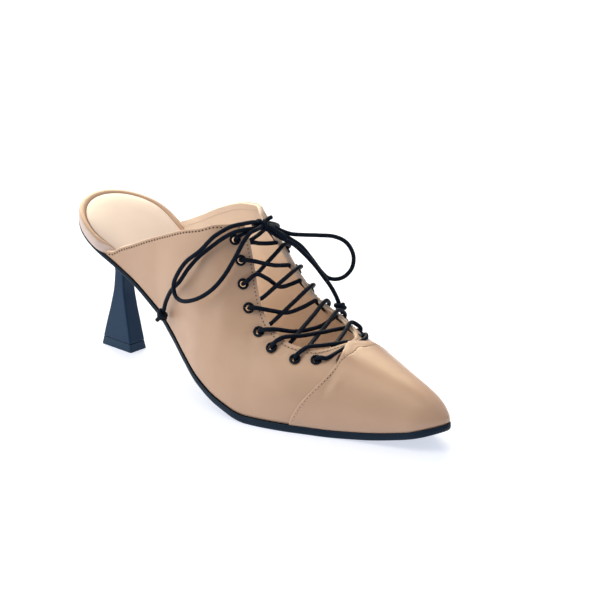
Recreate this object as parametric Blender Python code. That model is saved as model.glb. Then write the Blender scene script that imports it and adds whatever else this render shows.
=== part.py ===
"""Lace-up mule, right shoe: pointed toe, stepped toe cap, open back, waisted heel and a tied bow.

Every table is in millimetres. x runs from the rear of the seat to the tip of the toe, y is negative
on the lateral (outer) side and z is the height over the floor. Vertices are written in metres, with
the origin moved to the middle of the shoe's footprint.
"""

import math

import bmesh
import bpy
from mathutils import Vector

MM = 0.001
LENGTH = 255.0
MIDDLE_X = 127.53
MIDDLE_Y = -2.28
GAP = 0.3

SEAT_ROUND = 30.0
TOE_ROUND = 14.0
LATERAL = -1
MEDIAL = 1

# Upper: wall, how far its foot stands inside the sole's edge, and the toe cap's step and back seam.
WALL = 2.0
FOOT_INSET = 0.6
UPPER_TOE = 253.4
CAP_STEP = 0.9
CAP_LAND = 0.35
QUARTER_END = 36.5
TOP_CORNER = 112.0
FACING_START = 131.0
THROAT_WIDE = 150.0
CAP_FOOT = 181.0
THROAT_FRONT = 188.0
CAP_BOW = 10.0
CAP_BOW_REAR = 14.0
CAP_BOW_FRONT = 26.0
COLUMNS_UP = 9

# Insole board with its wrapped rim, and the sock that lies in its recess.
RIM_EDGE = 0.9
RIM_OVERHANG = 1.0
TUCKED_EDGE = 3.4
TUCK_START = 26.0
TUCK_END = 35.5
INSOLE_TOE = 12.0
RIM_WIDTH = 4.0
SOCK_DEPTH = 0.9
SOCK_RISE = 0.3

# Heel and its top piece.
HEEL_X = 28.2
TOP_PIECE_HEIGHT = 4.7
TOP_PIECE_FLARE = 1.6

# Eyelets and lace.
EYELET_RADIUS = 2.2
EYELET_BEAD = 0.6
LACE = 2.3
LACE_LIFT = 1.7
LACE_START = 4.6
LACE_DIVE = 2.4
LACE_DROP = 2.4
TOP_BAR = 124.2


class Stations:
    """Named sizes in rows along one axis, read with a smooth curve that never overshoots its rows."""

    def __init__(self, columns, rows):
        self.names = columns[1:]
        self.places = [row[0] for row in rows]
        self.values = {name: [row[i + 1] for row in rows] for i, name in enumerate(self.names)}
        self.slopes = {name: self.find_slopes(self.values[name]) for name in self.names}

    def find_slopes(self, values):
        places = self.places
        steps = [b - a for a, b in zip(places, places[1:])]
        rises = [(b - a) / step for a, b, step in zip(values, values[1:], steps)]
        slopes = [rises[0]]
        for step, next_step, rise, next_rise in zip(steps, steps[1:], rises, rises[1:]):
            if rise * next_rise <= 0.0:
                slopes.append(0.0)
                continue
            weight = 2.0 * next_step + step
            next_weight = next_step + 2.0 * step
            slopes.append((weight + next_weight) / (weight / rise + next_weight / next_rise))
        slopes.append(rises[-1])
        return slopes

    def at(self, name, place):
        places = self.places
        place = min(max(place, places[0]), places[-1])
        row = 0
        while row < len(places) - 2 and places[row + 1] <= place:
            row += 1
        step = places[row + 1] - places[row]
        t = (place - places[row]) / step
        values = self.values[name]
        slopes = self.slopes[name]
        start = values[row] * (1.0 + 2.0 * t) + slopes[row] * step * t
        end = values[row + 1] * (3.0 - 2.0 * t) + slopes[row + 1] * step * (t - 1.0)
        return start * (1.0 - t) ** 2 + end * t * t


# Side view of the sole: underside, outsole thickness and insole thickness.
PROFILE = Stations(
    ("x", "bottom", "outsole", "insole"),
    (
        (0.0, 76.3, 2.4, 5.9),
        (20.0, 68.1, 2.3, 5.9),
        (40.0, 57.9, 2.3, 5.6),
        (60.0, 46.1, 2.5, 4.9),
        (80.0, 33.4, 3.0, 4.2),
        (100.0, 21.5, 3.2, 3.6),
        (120.0, 11.3, 3.3, 3.1),
        (140.0, 3.9, 3.5, 2.8),
        (158.0, 0.0, 3.9, 2.6),
        (196.0, 0.0, 4.0, 2.6),
        (215.0, 1.2, 4.0, 2.6),
        (235.0, 4.5, 3.9, 2.6),
        (255.0, 10.6, 3.8, 2.6),
    ),
)

# Plan of the sole: reach of each side from y = 0, and the line from the instep to the toe's tip.
OUTLINE = Stations(
    ("x", "lateral", "medial", "axis"),
    (
        (0.0, 29.4, 29.4, 0.0),
        (30.0, 29.6, 29.6, 0.0),
        (45.0, 27.6, 29.2, 0.0),
        (60.0, 25.9, 27.6, 0.0),
        (75.0, 26.2, 24.6, 0.0),
        (90.0, 29.8, 22.6, 0.0),
        (105.0, 35.3, 23.4, 0.0),
        (120.0, 40.4, 27.6, 0.0),
        (135.0, 43.0, 33.2, 0.5),
        (147.0, 43.5, 37.0, 1.0),
        (160.0, 41.6, 38.9, 1.6),
        (175.0, 37.2, 38.0, 2.3),
        (190.0, 30.8, 34.4, 3.0),
        (205.0, 24.2, 29.4, 3.4),
        (220.0, 18.0, 23.4, 3.7),
        (235.0, 12.2, 17.6, 3.8),
        (255.0, 5.2, 10.6, 3.8),
    ),
)

# Cross sections of the last: height of the closed ridge, how square each side's curve is, its bulge.
LAST = Stations(
    ("x", "ridge", "lateral_square", "medial_square", "lateral_bulge", "medial_bulge"),
    (
        (30.0, 130.0, 2.3, 2.3, 1.0, 3.0),
        (42.0, 129.3, 2.3, 2.3, 1.7, 7.0),
        (60.0, 128.0, 2.3, 2.3, 3.0, 3.0),
        (90.0, 122.0, 2.1, 2.2, 2.0, 6.0),
        (110.0, 112.0, 1.9, 2.1, 0.5, 5.0),
        (129.0, 90.0, 1.75, 2.05, 0.0, 2.0),
        (139.0, 72.8, 1.75, 2.15, 0.0, 0.5),
        (150.0, 58.6, 1.85, 2.3, 0.0, 0.0),
        (164.0, 49.6, 2.05, 2.6, 0.5, 0.5),
        (175.0, 44.8, 2.2, 2.45, 1.0, 0.8),
        (189.0, 40.8, 2.3, 2.4, 1.2, 1.0),
        (205.0, 36.6, 2.3, 2.3, 1.2, 1.2),
        (220.0, 32.6, 2.25, 2.25, 1.0, 1.0),
        (235.0, 28.2, 2.25, 2.25, 0.6, 0.6),
        (245.0, 23.8, 2.2, 2.2, 0.3, 0.3),
        (250.0, 20.4, 2.2, 2.2, 0.0, 0.0),
        (253.4, 17.6, 2.2, 2.2, 0.0, 0.0),
    ),
)

# Free edge of the quarters as a share of the way from sole to ridge: topline, corner, then facing.
EDGE = Stations(
    ("x", "lateral", "medial"),
    (
        (36.5, 0.006, 0.020),
        (39.5, 0.018, 0.045),
        (42.5, 0.031, 0.065),
        (45.5, 0.054, 0.086),
        (48.5, 0.079, 0.109),
        (61.0, 0.170, 0.207),
        (73.5, 0.268, 0.310),
        (85.0, 0.360, 0.402),
        (96.0, 0.452, 0.490),
        (107.0, 0.551, 0.588),
        (114.0, 0.642, 0.676),
        (119.5, 0.730, 0.780),
        (123.0, 0.812, 0.834),
        (125.5, 0.842, 0.838),
        (128.8, 0.825, 0.812),
        (135.7, 0.774, 0.760),
        (141.5, 0.722, 0.706),
        (147.2, 0.687, 0.668),
        (155.0, 0.657, 0.646),
        (165.0, 0.650, 0.645),
        (174.0, 0.680, 0.674),
        (181.7, 0.742, 0.784),
        (186.0, 0.850, 0.890),
        (188.0, 1.000, 1.000),
    ),
)

# Eyelets, counted from the top: station, then distance from the axis on the lateral and the medial side.
EYELETS = (
    (124.7, 15.6, 15.6),
    (130.6, 17.7, 17.7),
    (135.4, 21.2, 21.2),
    (141.8, 23.9, 23.9),
    (151.0, 26.6, 26.6),
    (161.2, 28.3, 28.3),
    (175.3, 26.4, 25.0),
    (184.8, 21.1, 15.6),
)

# Lace crossings, counted from the second pair of eyelets. Each bar leaves its eyelet on the outside, runs
# over its own facing and ends under the other one. A row gives the places on the edges where the lateral
# bar goes over and the medial edge hides it, then the same for the medial bar.
CROSSINGS = (
    (134.4, 137.5, 133.0, 136.8),
    (138.0, 142.0, 139.0, 143.0),
    (147.0, 150.5, 145.3, 152.5),
    (157.0, 162.5, 153.5, 165.5),
    (164.0, 171.5, 161.5, 174.0),
    (176.5, 183.5, 171.5, 183.0),
)
FIRST_LATERAL = 129.2
FIRST_MEDIAL = 131.2

# Heel block: height of each ring over the floor, depth along x, width, corner radius, middle of its width
# and how far the ring has turned into the slope of the seat. The last ring lies under the outsole.
HEEL = Stations(
    ("height", "depth", "width", "corner", "middle", "slope"),
    (
        (5.0, 22.0, 11.4, 0.8, -6.6, 0.0),
        (14.0, 17.6, 10.6, 0.8, -6.3, 0.0),
        (25.0, 12.0, 9.6, 0.8, -5.9, 0.0),
        (36.0, 7.8, 9.0, 0.9, -5.5, 0.0),
        (43.0, 7.2, 9.2, 1.2, -5.0, 0.1),
        (49.0, 10.0, 12.0, 2.5, -4.4, 0.3),
        (54.0, 17.0, 18.0, 6.0, -3.8, 0.6),
        (58.5, 28.0, 28.0, 11.5, -3.2, 0.85),
        (61.5, 39.0, 38.0, 17.0, -2.6, 1.0),
        (63.2, 45.0, 44.0, 20.0, -2.4, 1.0),
    ),
)

# Routes of the bow, in the shoe's own millimetres, each from the knot outwards.
KNOT = (129.9, 0.0, 92.6)
KNOT_RADIUS = 2.0
KNOT_TURNS = 1.6
KNOT_PITCH = 2.9
LEFT_LOOP = (
    (129.4, -6.4, 95.5),
    (128.0, -13.0, 95.8),
    (124.8, -18.2, 94.9),
    (121.8, -22.4, 92.5),
    (119.5, -26.4, 89.8),
    (115.3, -32.2, 82.7),
    (109.4, -36.6, 76.4),
    (104.4, -38.4, 68.4),
    (101.9, -38.6, 62.4),
    (103.8, -39.4, 57.2),
    (107.9, -40.2, 55.8),
    (113.3, -40.6, 56.5),
    (121.5, -38.6, 60.1),
    (127.5, -34.6, 65.7),
    (130.4, -29.6, 72.0),
    (131.6, -25.4, 77.6),
    (132.1, -21.8, 82.2),
    (132.2, -16.6, 88.2),
    (132.2, -11.6, 91.6),
    (132.6, -6.8, 92.5),
)
LEFT_END = (
    (129.7, -6.0, 92.2),
    (128.7, -13.0, 92.7),
    (126.4, -18.8, 91.9),
    (122.5, -22.6, 88.8),
    (118.8, -25.6, 85.1),
    (113.1, -30.2, 78.9),
    (108.5, -34.0, 71.9),
    (103.0, -35.2, 63.7),
    (96.4, -35.0, 57.0),
    (91.1, -34.0, 49.0),
    (87.5, -33.4, 40.6),
    (83.8, -33.8, 36.7),
)
RIGHT_LOOP = (
    (131.9, 5.4, 91.2),
    (134.1, 9.6, 88.2),
    (137.0, 14.2, 85.9),
    (140.3, 21.0, 84.5),
    (143.8, 28.0, 83.4),
    (148.6, 36.0, 81.8),
    (152.5, 41.0, 78.2),
    (154.9, 44.0, 71.0),
    (155.0, 43.0, 64.1),
    (152.9, 39.0, 59.5),
    (149.9, 35.0, 58.4),
    (147.4, 32.0, 59.5),
    (145.3, 29.2, 63.0),
    (142.3, 24.6, 70.8),
    (139.9, 19.2, 78.4),
    (138.3, 13.0, 83.4),
    (136.1, 7.4, 87.5),
)
RIGHT_END = (
    (134.3, 3.2, 88.3),
    (138.0, 5.4, 86.0),
    (142.1, 10.6, 82.2),
    (145.5, 15.2, 76.7),
    (148.6, 20.0, 70.1),
    (151.1, 25.4, 61.9),
    (152.6, 29.2, 55.9),
    (155.4, 30.4, 50.6),
    (157.7, 30.8, 45.6),
    (159.0, 31.4, 42.1),
)


def end_round(x, rear=0.0, front=LENGTH):
    """Share of the full width that the rounded seat and toe leave at x."""
    past_seat = max(0.0, rear + SEAT_ROUND - x) / SEAT_ROUND
    past_toe = max(0.0, x - front + TOE_ROUND) / TOE_ROUND
    past = max(past_seat, past_toe)
    return math.sqrt(max(0.0, 1.0 - past * past))


def side_name(side):
    return "lateral" if side == LATERAL else "medial"


def reach(x, side, inset=0.0, rear=0.0, front=LENGTH):
    """Distance from the axis to the sole's edge on one side, moved in by inset."""
    full = OUTLINE.at(side_name(side), x) - side * OUTLINE.at("axis", x)
    return (full - inset) * end_round(x, rear, front)


def edge_y(x, side, inset=0.0, rear=0.0, front=LENGTH):
    return OUTLINE.at("axis", x) + side * reach(x, side, inset, rear, front)


def sole_top(x):
    return PROFILE.at("bottom", x) + PROFILE.at("outsole", x)


def insole_top(x):
    return sole_top(x) + GAP + PROFILE.at("insole", x)


def last_point(x, share, side):
    """Point of the upper's outer face: share is 0 at the sole and 1 on the ridge."""
    name = side_name(side)
    power = 2.0 / LAST.at(name + "_square", x)
    angle = 0.5 * math.pi * share
    climb = math.sin(angle) ** power
    lean = max(0.0, math.cos(angle)) ** power
    foot = sole_top(x) + GAP
    bulge = LAST.at(name + "_bulge", x) * end_round(x, 0.0, UPPER_TOE) * math.sin(math.pi * climb)
    width = reach(x, side, FOOT_INSET, 0.0, UPPER_TOE) * lean + max(0.0, bulge)
    height = foot + climb * (LAST.at("ridge", x) - foot)
    return Vector((x, OUTLINE.at("axis", x) + side * width, height))


def last_normal(x, share, side):
    """Outward direction of the upper's face."""
    along = last_point(x + 0.2, share, side) - last_point(x - 0.2, share, side)
    up = last_point(x, min(share + 0.01, 1.0), side) - last_point(x, share - 0.01, side)
    return (along.cross(up) * -side).normalized()


def share_at_reach(x, distance, side):
    """Share of the section where the face is the given distance from the axis."""
    low, high = 0.3, 1.0
    for _ in range(40):
        middle = 0.5 * (low + high)
        if side * (last_point(x, middle, side).y - OUTLINE.at("axis", x)) > distance:
            low = middle
        else:
            high = middle
    return low


def edge_share(x, side):
    return EDGE.at(side_name(side), x) if x < THROAT_FRONT else 1.0


def placed(point):
    """A point of the tables, in metres about the part's origin."""
    return Vector(((point[0] - MIDDLE_X) * MM, (point[1] - MIDDLE_Y) * MM, point[2] * MM))


def clear_scene():
    for item in list(bpy.data.objects):
        bpy.data.objects.remove(item, do_unlink=True)


def new_collection(name):
    collection = bpy.data.collections.new(name)
    bpy.context.scene.collection.children.link(collection)
    return collection


def new_material(name, colour, roughness, metallic=0.0):
    material = bpy.data.materials.new(name)
    material.use_nodes = True
    shader = material.node_tree.nodes["Principled BSDF"]
    shader.inputs["Base Color"].default_value = (*colour, 1.0)
    shader.inputs["Roughness"].default_value = roughness
    shader.inputs["Metallic"].default_value = metallic
    return material


def add_solid(name, points, faces, material, collection):
    """Closed mesh from points of the tables, with its faces turned outwards."""
    mesh = bpy.data.meshes.new(name)
    mesh.from_pydata([placed(point) for point in points], [], faces)
    shape = bmesh.new()
    shape.from_mesh(mesh)
    bmesh.ops.recalc_face_normals(shape, faces=shape.faces)
    shape.to_mesh(mesh)
    shape.free()
    mesh.materials.append(material)
    item = bpy.data.objects.new(name, mesh)
    collection.objects.link(item)
    return item


def loft(name, rings, material, collection):
    """Solid through rings of equal count, closed with a flat cap at each end."""
    count = len(rings[0])
    points = [point for ring in rings for point in ring]
    faces = [list(range(count))[::-1]]
    for row in range(len(rings) - 1):
        for i in range(count):
            j = (i + 1) % count
            faces.append((row * count + i, row * count + j, (row + 1) * count + j, (row + 1) * count + i))
    faces.append([(len(rings) - 1) * count + i for i in range(count)])
    return add_solid(name, points, faces, material, collection)


def spread(start, end, count):
    """Evenly spaced places from start up to, but without, end."""
    return [start + (end - start) * i / count for i in range(count)]


def plan_stations(rear, front):
    """Places along a sole piece: close together round the seat and the toe."""
    seat = [rear + SEAT_ROUND * (1.0 - math.cos(0.5 * math.pi * i / 9)) for i in range(1, 9)]
    middle = spread(rear + SEAT_ROUND, 158.0, 16) + spread(158.0, 196.0, 5)
    middle += spread(196.0, front - TOE_ROUND, 6)
    toe = [front - TOE_ROUND * (1.0 - math.sin(0.5 * math.pi * i / 7)) for i in range(7)]
    return [rear + 0.12] + seat + middle + toe + [front - 0.06]


def tuck(x):
    """Inset of the insole's edge: it stands out beside the open seat, then turns inside the wall."""
    t = min(max((x - TUCK_START) / (TUCK_END - TUCK_START), 0.0), 1.0)
    return (TUCKED_EDGE + RIM_OVERHANG) * t * t * (3.0 - 2.0 * t) - RIM_OVERHANG


def build_outsole(material, collection):
    rings = []
    for x in plan_stations(0.0, LENGTH):
        low = PROFILE.at("bottom", x)
        high = sole_top(x)
        left = edge_y(x, LATERAL)
        right = edge_y(x, MEDIAL)
        chamfer = min(0.8, 0.3 * (right - left))
        rings.append((
            (x, left + chamfer, low),
            (x, right - chamfer, low),
            (x, right, low + 0.8),
            (x, right, high),
            (x, left, high),
            (x, left, low + 0.8),
        ))
    return loft("outsole", rings, material, collection)


def plate_rings(rear, front, extra, low, high):
    """Rings of a plate that follows the insole's plan, extra inside its edge."""
    rings = []
    for x in plan_stations(rear, front):
        left = edge_y(x, LATERAL, tuck(x) + extra, rear, front)
        right = edge_y(x, MEDIAL, tuck(x) + extra, rear, front)
        rings.append((
            (x, left, low(x)),
            (x, right, low(x)),
            (x, right, high(x)),
            (x, left, high(x)),
        ))
    return rings


def build_insole(material, sock_material, collection, cutters):
    rear = RIM_EDGE
    front = LENGTH - INSOLE_TOE
    board = loft(
        "insole",
        plate_rings(rear, front, 0.0, lambda x: sole_top(x) + GAP, insole_top),
        material,
        collection,
    )
    recess = loft(
        "sock_recess",
        plate_rings(
            rear + RIM_WIDTH,
            front - RIM_WIDTH,
            RIM_WIDTH,
            lambda x: insole_top(x) - SOCK_DEPTH - GAP,
            lambda x: insole_top(x) + 4.0,
        ),
        material,
        cutters,
    )
    recess.hide_render = True
    recess.display_type = "WIRE"
    cut = board.modifiers.new("sock recess", "BOOLEAN")
    cut.operation = "DIFFERENCE"
    cut.solver = "EXACT"
    cut.object = recess
    inner = RIM_WIDTH + GAP
    loft(
        "sock",
        plate_rings(
            rear + inner,
            front - inner,
            inner,
            lambda x: insole_top(x) - SOCK_DEPTH,
            lambda x: insole_top(x) + SOCK_RISE,
        ),
        sock_material,
        collection,
    )


def heel_ring(depth, width, corner, middle, height_at):
    """Rectangle with rounded corners; height_at gives z for a place along x."""
    ring = []
    for turn in range(4):
        sign_x = (1, -1, -1, 1)[turn]
        sign_y = (1, 1, -1, -1)[turn]
        for part in range(5):
            angle = 0.5 * math.pi * (turn + part / 4.0)
            x = HEEL_X + sign_x * (0.5 * depth - corner) + corner * math.cos(angle)
            y = middle + sign_y * (0.5 * width - corner) + corner * math.sin(angle)
            ring.append((x, y, height_at(x)))
    return ring


def build_heel(heel_material, tread_material, collection):
    seat = PROFILE.at("bottom", HEEL_X)
    base = TOP_PIECE_HEIGHT + GAP
    top = HEEL.places[-1]
    stretch = (seat - GAP - base) / (top - base)
    sizes = ("depth", "width", "corner", "middle")
    rings = []
    for height in HEEL.places:
        slope = HEEL.at("slope", height)
        level = base + (height - base) * stretch

        def height_at(x, level=level, slope=slope):
            return level + slope * (PROFILE.at("bottom", x) - seat)

        depth, width, corner, middle = (HEEL.at(name, height) for name in sizes)
        rings.append(heel_ring(depth, width, corner, middle, height_at))
    loft("heel", rings, heel_material, collection)
    depth, width, corner, middle = (HEEL.at(name, base) for name in sizes)
    flare = TOP_PIECE_FLARE
    foot = [
        heel_ring(depth + flare, width + 0.5 * flare, corner, middle, lambda x: 0.0),
        heel_ring(depth, width, corner, middle, lambda x: TOP_PIECE_HEIGHT),
    ]
    loft("heel_top_piece", foot, tread_material, collection)


def upper_rows():
    """Rows of the upper's grid: place at the sole, place at the free edge, forward bow, toe-cap step."""
    rows = []
    for x in spread(QUARTER_END, TOP_CORNER, 11) + spread(TOP_CORNER, FACING_START, 9):
        rows.append((x, x, 0.0, 0.0))
    for x in spread(FACING_START, THROAT_WIDE, 5):
        rows.append((x, x, 0.0, 0.0))
    for x in spread(THROAT_WIDE, CAP_FOOT, 9):
        turn = 0.5 * math.pi * (x - THROAT_WIDE) / (CAP_FOOT - THROAT_WIDE)
        edge = THROAT_WIDE + (THROAT_FRONT - THROAT_WIDE) * math.sin(turn)
        rows.append((x, edge, CAP_BOW * math.exp(-(((x - CAP_FOOT) / CAP_BOW_REAR) ** 2)), 0.0))
    rows.append((CAP_FOOT, THROAT_FRONT, CAP_BOW, 0.0))
    front = UPPER_TOE - TOE_ROUND
    toe = [CAP_FOOT + CAP_LAND] + spread(CAP_FOOT, front, 11)[1:]
    toe += [front + TOE_ROUND * math.sin(0.5 * math.pi * i / 6) for i in range(7)]
    for x in toe:
        along = (x - CAP_FOOT) / (UPPER_TOE - CAP_FOOT)
        edge = THROAT_FRONT + (UPPER_TOE - THROAT_FRONT) * along
        rows.append((x, edge, CAP_BOW * math.exp(-(((x - CAP_FOOT) / CAP_BOW_FRONT) ** 2)), CAP_STEP))
    return rows


def upper_sheet():
    """Grid of the upper's face, with each vertex's toe-cap step and whether it is at the sole."""
    sheet = bmesh.new()
    steps = []
    at_sole = []
    sides = {LATERAL: [], MEDIAL: []}
    for foot, edge, bow, step in upper_rows():
        closed = edge >= THROAT_FRONT
        at_tip = foot >= UPPER_TOE
        for side in (LATERAL, MEDIAL):
            line = []
            for column in range(COLUMNS_UP + 1):
                share = column / COLUMNS_UP
                shared = side == MEDIAL and (at_tip or (closed and column == COLUMNS_UP))
                if shared:
                    line.append(sides[LATERAL][-1][column])
                    continue
                x = foot + (edge - foot) * share + bow * math.sin(math.pi * share ** 1.2)
                x = min(x, UPPER_TOE)
                line.append(sheet.verts.new(last_point(x, share * edge_share(edge, side), side)))
                steps.append(step)
                at_sole.append(column == 0)
            sides[side].append(line)
    for side, lines in sides.items():
        for line, ahead in zip(lines, lines[1:]):
            for i in range(COLUMNS_UP):
                quad = [line[i], ahead[i], ahead[i + 1], line[i + 1]]
                sheet.faces.new(quad if side == LATERAL else quad[::-1])
    sheet.verts.index_update()
    sheet.normal_update()
    return sheet, steps, at_sole


def build_upper(material, collection):
    """One hollow shell: the sheet's outer face, its inner face and the rim between them."""
    sheet, steps, at_sole = upper_sheet()
    outward = []
    for vert, low in zip(sheet.verts, at_sole):
        level = Vector((vert.normal.x, vert.normal.y, 0.0)).normalized()
        outward.append(level if low else vert.normal.copy())
    outer = [vert.co + way * step for vert, way, step in zip(sheet.verts, outward, steps)]
    inner = [vert.co - way * WALL for vert, way in zip(sheet.verts, outward)]
    count = len(outer)
    faces = []
    for face in sheet.faces:
        ring = [vert.index for vert in face.verts]
        faces.append(ring)
        faces.append([i + count for i in reversed(ring)])
        for loop in face.loops:
            if loop.edge.is_boundary:
                start = loop.vert.index
                end = loop.link_loop_next.vert.index
                faces.append((end, start, start + count, end + count))
    sheet.free()
    return add_solid("upper", outer + inner, faces, material, collection)


def eyelet_place(number, side):
    """Station of an eyelet's middle and its share of the way from sole to ridge."""
    x, lateral, medial = EYELETS[number]
    return x, share_at_reach(x, lateral if side == LATERAL else medial, side)


def build_eyelets(material, collection):
    for side in (LATERAL, MEDIAL):
        for number in range(1, len(EYELETS) + 1):
            x, share = eyelet_place(number - 1, side)
            normal = last_normal(x, share, side)
            centre = last_point(x, share, side) + normal * (EYELET_BEAD + GAP)
            turn = Vector((0.0, 0.0, 1.0)).rotation_difference(normal).to_matrix()
            points = []
            around, across = 14, 5
            for i in range(around):
                spin = 2.0 * math.pi * i / around
                for j in range(across):
                    bead = 2.0 * math.pi * j / across + 0.5 * math.pi
                    radius = EYELET_RADIUS + EYELET_BEAD * math.cos(bead)
                    height = EYELET_BEAD * math.sin(bead)
                    spot = Vector((radius * math.cos(spin), radius * math.sin(spin), height))
                    points.append(centre + turn @ spot)
            faces = []
            for i in range(around):
                ahead = (i + 1) % around
                for j in range(across):
                    k = (j + 1) % across
                    faces.append((i * across + j, ahead * across + j, ahead * across + k, i * across + k))
            add_solid("eyelet_%s_%d" % (side_name(side), number), points, faces, material, collection)


def eyelet_point(number, side, lift):
    x, share = eyelet_place(number, side)
    return last_point(x, share, side) + last_normal(x, share, side) * lift


def facing_point(x, side, lift):
    share = edge_share(x, side)
    return last_point(x, share, side) + last_normal(x, share - 0.02, side) * lift


def under_facing(x, side):
    """Where a bar ends beside the facing's edge, just below the leather."""
    edge = facing_point(x, side, 0.0)
    middle = Vector((x, OUTLINE.at("axis", x), edge.z))
    return edge + (middle - edge).normalized() * LACE_DIVE - Vector((0.0, 0.0, LACE_DROP))


def bar_start(number, side, over):
    """First point of a bar, clear of the eyelet that it comes from."""
    eyelet = eyelet_point(number, side, LACE_LIFT)
    return eyelet + (over - eyelet).normalized() * LACE_START


def meeting(start, end, other_start, other_end):
    """Point halfway between two lines where they cross in plan."""
    along = end - start
    other = other_end - other_start
    apart = other_start - start
    cross = along.x * other.y - along.y * other.x
    share = (apart.x * other.y - apart.y * other.x) / cross
    other_share = (apart.x * along.y - apart.y * along.x) / cross
    return 0.5 * (start + along * share + other_start + other * other_share)


def crossing_routes(number):
    """Routes of the two bars of one crossing, which touch where they cross."""
    lateral_over, medial_end, medial_over, lateral_end = CROSSINGS[number - 1]
    over = facing_point(lateral_over, LATERAL, LACE_LIFT)
    end = under_facing(medial_end, MEDIAL)
    other_over = facing_point(medial_over, MEDIAL, LACE_LIFT)
    other_end = under_facing(lateral_end, LATERAL)
    touch = meeting(over, end, other_over, other_end)
    route = [bar_start(number, LATERAL, over), over, touch, end]
    other_route = [bar_start(number, MEDIAL, other_over), other_over, touch, other_end]
    return route, other_route


def tube_curve(name, points, diameter, material, collection):
    """Round cord along points of the tables, with closed ends."""
    curve = bpy.data.curves.new(name, "CURVE")
    curve.dimensions = "3D"
    curve.bevel_depth = 0.5 * diameter * MM
    curve.bevel_resolution = 2
    curve.use_fill_caps = True
    spline = curve.splines.new("POLY")
    spline.points.add(len(points) - 1)
    for knot, point in zip(spline.points, points):
        knot.co = (*placed(point), 1.0)
    curve.materials.append(material)
    item = bpy.data.objects.new(name, curve)
    collection.objects.link(item)
    return item


def tube_mesh(name, points, material, collection):
    """The same cord as a mesh, for joining with another."""
    source = tube_curve(name + " route", points, LACE, material, collection)
    bpy.context.view_layer.update()
    mesh = bpy.data.meshes.new_from_object(source.evaluated_get(bpy.context.evaluated_depsgraph_get()))
    bpy.data.objects.remove(source, do_unlink=True)
    shape = bmesh.new()
    shape.from_mesh(mesh)
    bmesh.ops.remove_doubles(shape, verts=shape.verts, dist=1e-6)
    bmesh.ops.recalc_face_normals(shape, faces=shape.faces)
    shape.to_mesh(mesh)
    shape.free()
    item = bpy.data.objects.new(name, mesh)
    collection.objects.link(item)
    return item


def build_lacing(material, collection, cutters):
    first = [under_facing(FIRST_LATERAL, LATERAL), under_facing(FIRST_MEDIAL, MEDIAL)]
    tube_curve("lace_crossing_1", first, LACE, material, collection)
    for number in range(1, len(EYELETS) - 1):
        name = "lace_crossing_%d" % (number + 1)
        route, other_route = crossing_routes(number)
        bar = tube_mesh(name, route, material, collection)
        other = tube_mesh(name + "_other", other_route, material, cutters)
        other.hide_render = True
        other.display_type = "WIRE"
        join = bar.modifiers.new("crossing bar", "BOOLEAN")
        join.operation = "UNION"
        join.solver = "EXACT"
        join.object = other
    ends = []
    for side in (LATERAL, MEDIAL):
        over = facing_point(TOP_BAR, side, LACE_LIFT)
        ends.append([bar_start(0, side, over), over])
    bar = ends[0] + ends[1][::-1]
    tube_curve("lace_top_bar", bar, LACE, material, collection)


def smooth_route(route, spacing):
    """Evenly spaced points on a smooth curve through the route's own points."""
    knots = [Vector(point) for point in route]
    knots = [2.0 * knots[0] - knots[1]] + knots + [2.0 * knots[-1] - knots[-2]]
    fine = []
    for a, b, c, d in zip(knots, knots[1:], knots[2:], knots[3:]):
        for i in range(24):
            t = i / 24
            bend = (2.0 * a - 5.0 * b + 4.0 * c - d) * t * t + (3.0 * b - a - 3.0 * c + d) * t ** 3
            fine.append(0.5 * (2.0 * b + (c - a) * t + bend))
    fine.append(knots[-2])
    lengths = [0.0]
    for a, b in zip(fine, fine[1:]):
        lengths.append(lengths[-1] + (b - a).length)
    count = max(2, round(lengths[-1] / spacing))
    points = []
    j = 0
    for i in range(count + 1):
        target = lengths[-1] * i / count
        while j < len(lengths) - 2 and lengths[j + 1] < target:
            j += 1
        points.append(fine[j].lerp(fine[j + 1], (target - lengths[j]) / (lengths[j + 1] - lengths[j])))
    return points


def build_bow(material, collection):
    turn_points = []
    steps = 14
    for i in range(steps + 1):
        spin = 2.0 * math.pi * KNOT_TURNS * i / steps
        rise = KNOT_PITCH * KNOT_TURNS * (i / steps - 0.5)
        turn_points.append((
            KNOT[0] + KNOT_RADIUS * math.cos(spin),
            KNOT[1] + rise,
            KNOT[2] + KNOT_RADIUS * math.sin(spin),
        ))
    tube_curve("bow_knot", turn_points, LACE, material, collection)
    spacing = 2.2 * LACE
    tube_curve("bow_loop_lateral", smooth_route(LEFT_LOOP, spacing), LACE, material, collection)
    tube_curve("bow_end_lateral", smooth_route(LEFT_END, spacing), LACE, material, collection)
    tube_curve("bow_loop_medial", smooth_route(RIGHT_LOOP, spacing), LACE, material, collection)
    tube_curve("bow_end_medial", smooth_route(RIGHT_END, spacing), LACE, material, collection)


def main():
    clear_scene()
    shoe = new_collection("mule")
    cutters = new_collection("cutters")
    leather = new_material("tan leather", (0.50, 0.33, 0.22), 0.38)
    sock_leather = new_material("cream leather", (0.86, 0.70, 0.56), 0.55)
    rim_leather = new_material("rim leather", (0.58, 0.41, 0.29), 0.45)
    rubber = new_material("black rubber", (0.012, 0.016, 0.024), 0.55)
    lacquer = new_material("black heel", (0.016, 0.024, 0.036), 0.35)
    tread = new_material("black tread", (0.012, 0.014, 0.018), 0.6)
    enamel = new_material("black enamel", (0.01, 0.01, 0.012), 0.3, 0.6)
    cord = new_material("waxed cord", (0.012, 0.012, 0.016), 0.4)
    build_outsole(rubber, shoe)
    build_heel(lacquer, tread, shoe)
    build_insole(rim_leather, sock_leather, shoe, cutters)
    build_upper(leather, shoe)
    build_eyelets(enamel, shoe)
    build_lacing(cord, shoe, cutters)
    build_bow(cord, shoe)


main()
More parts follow.
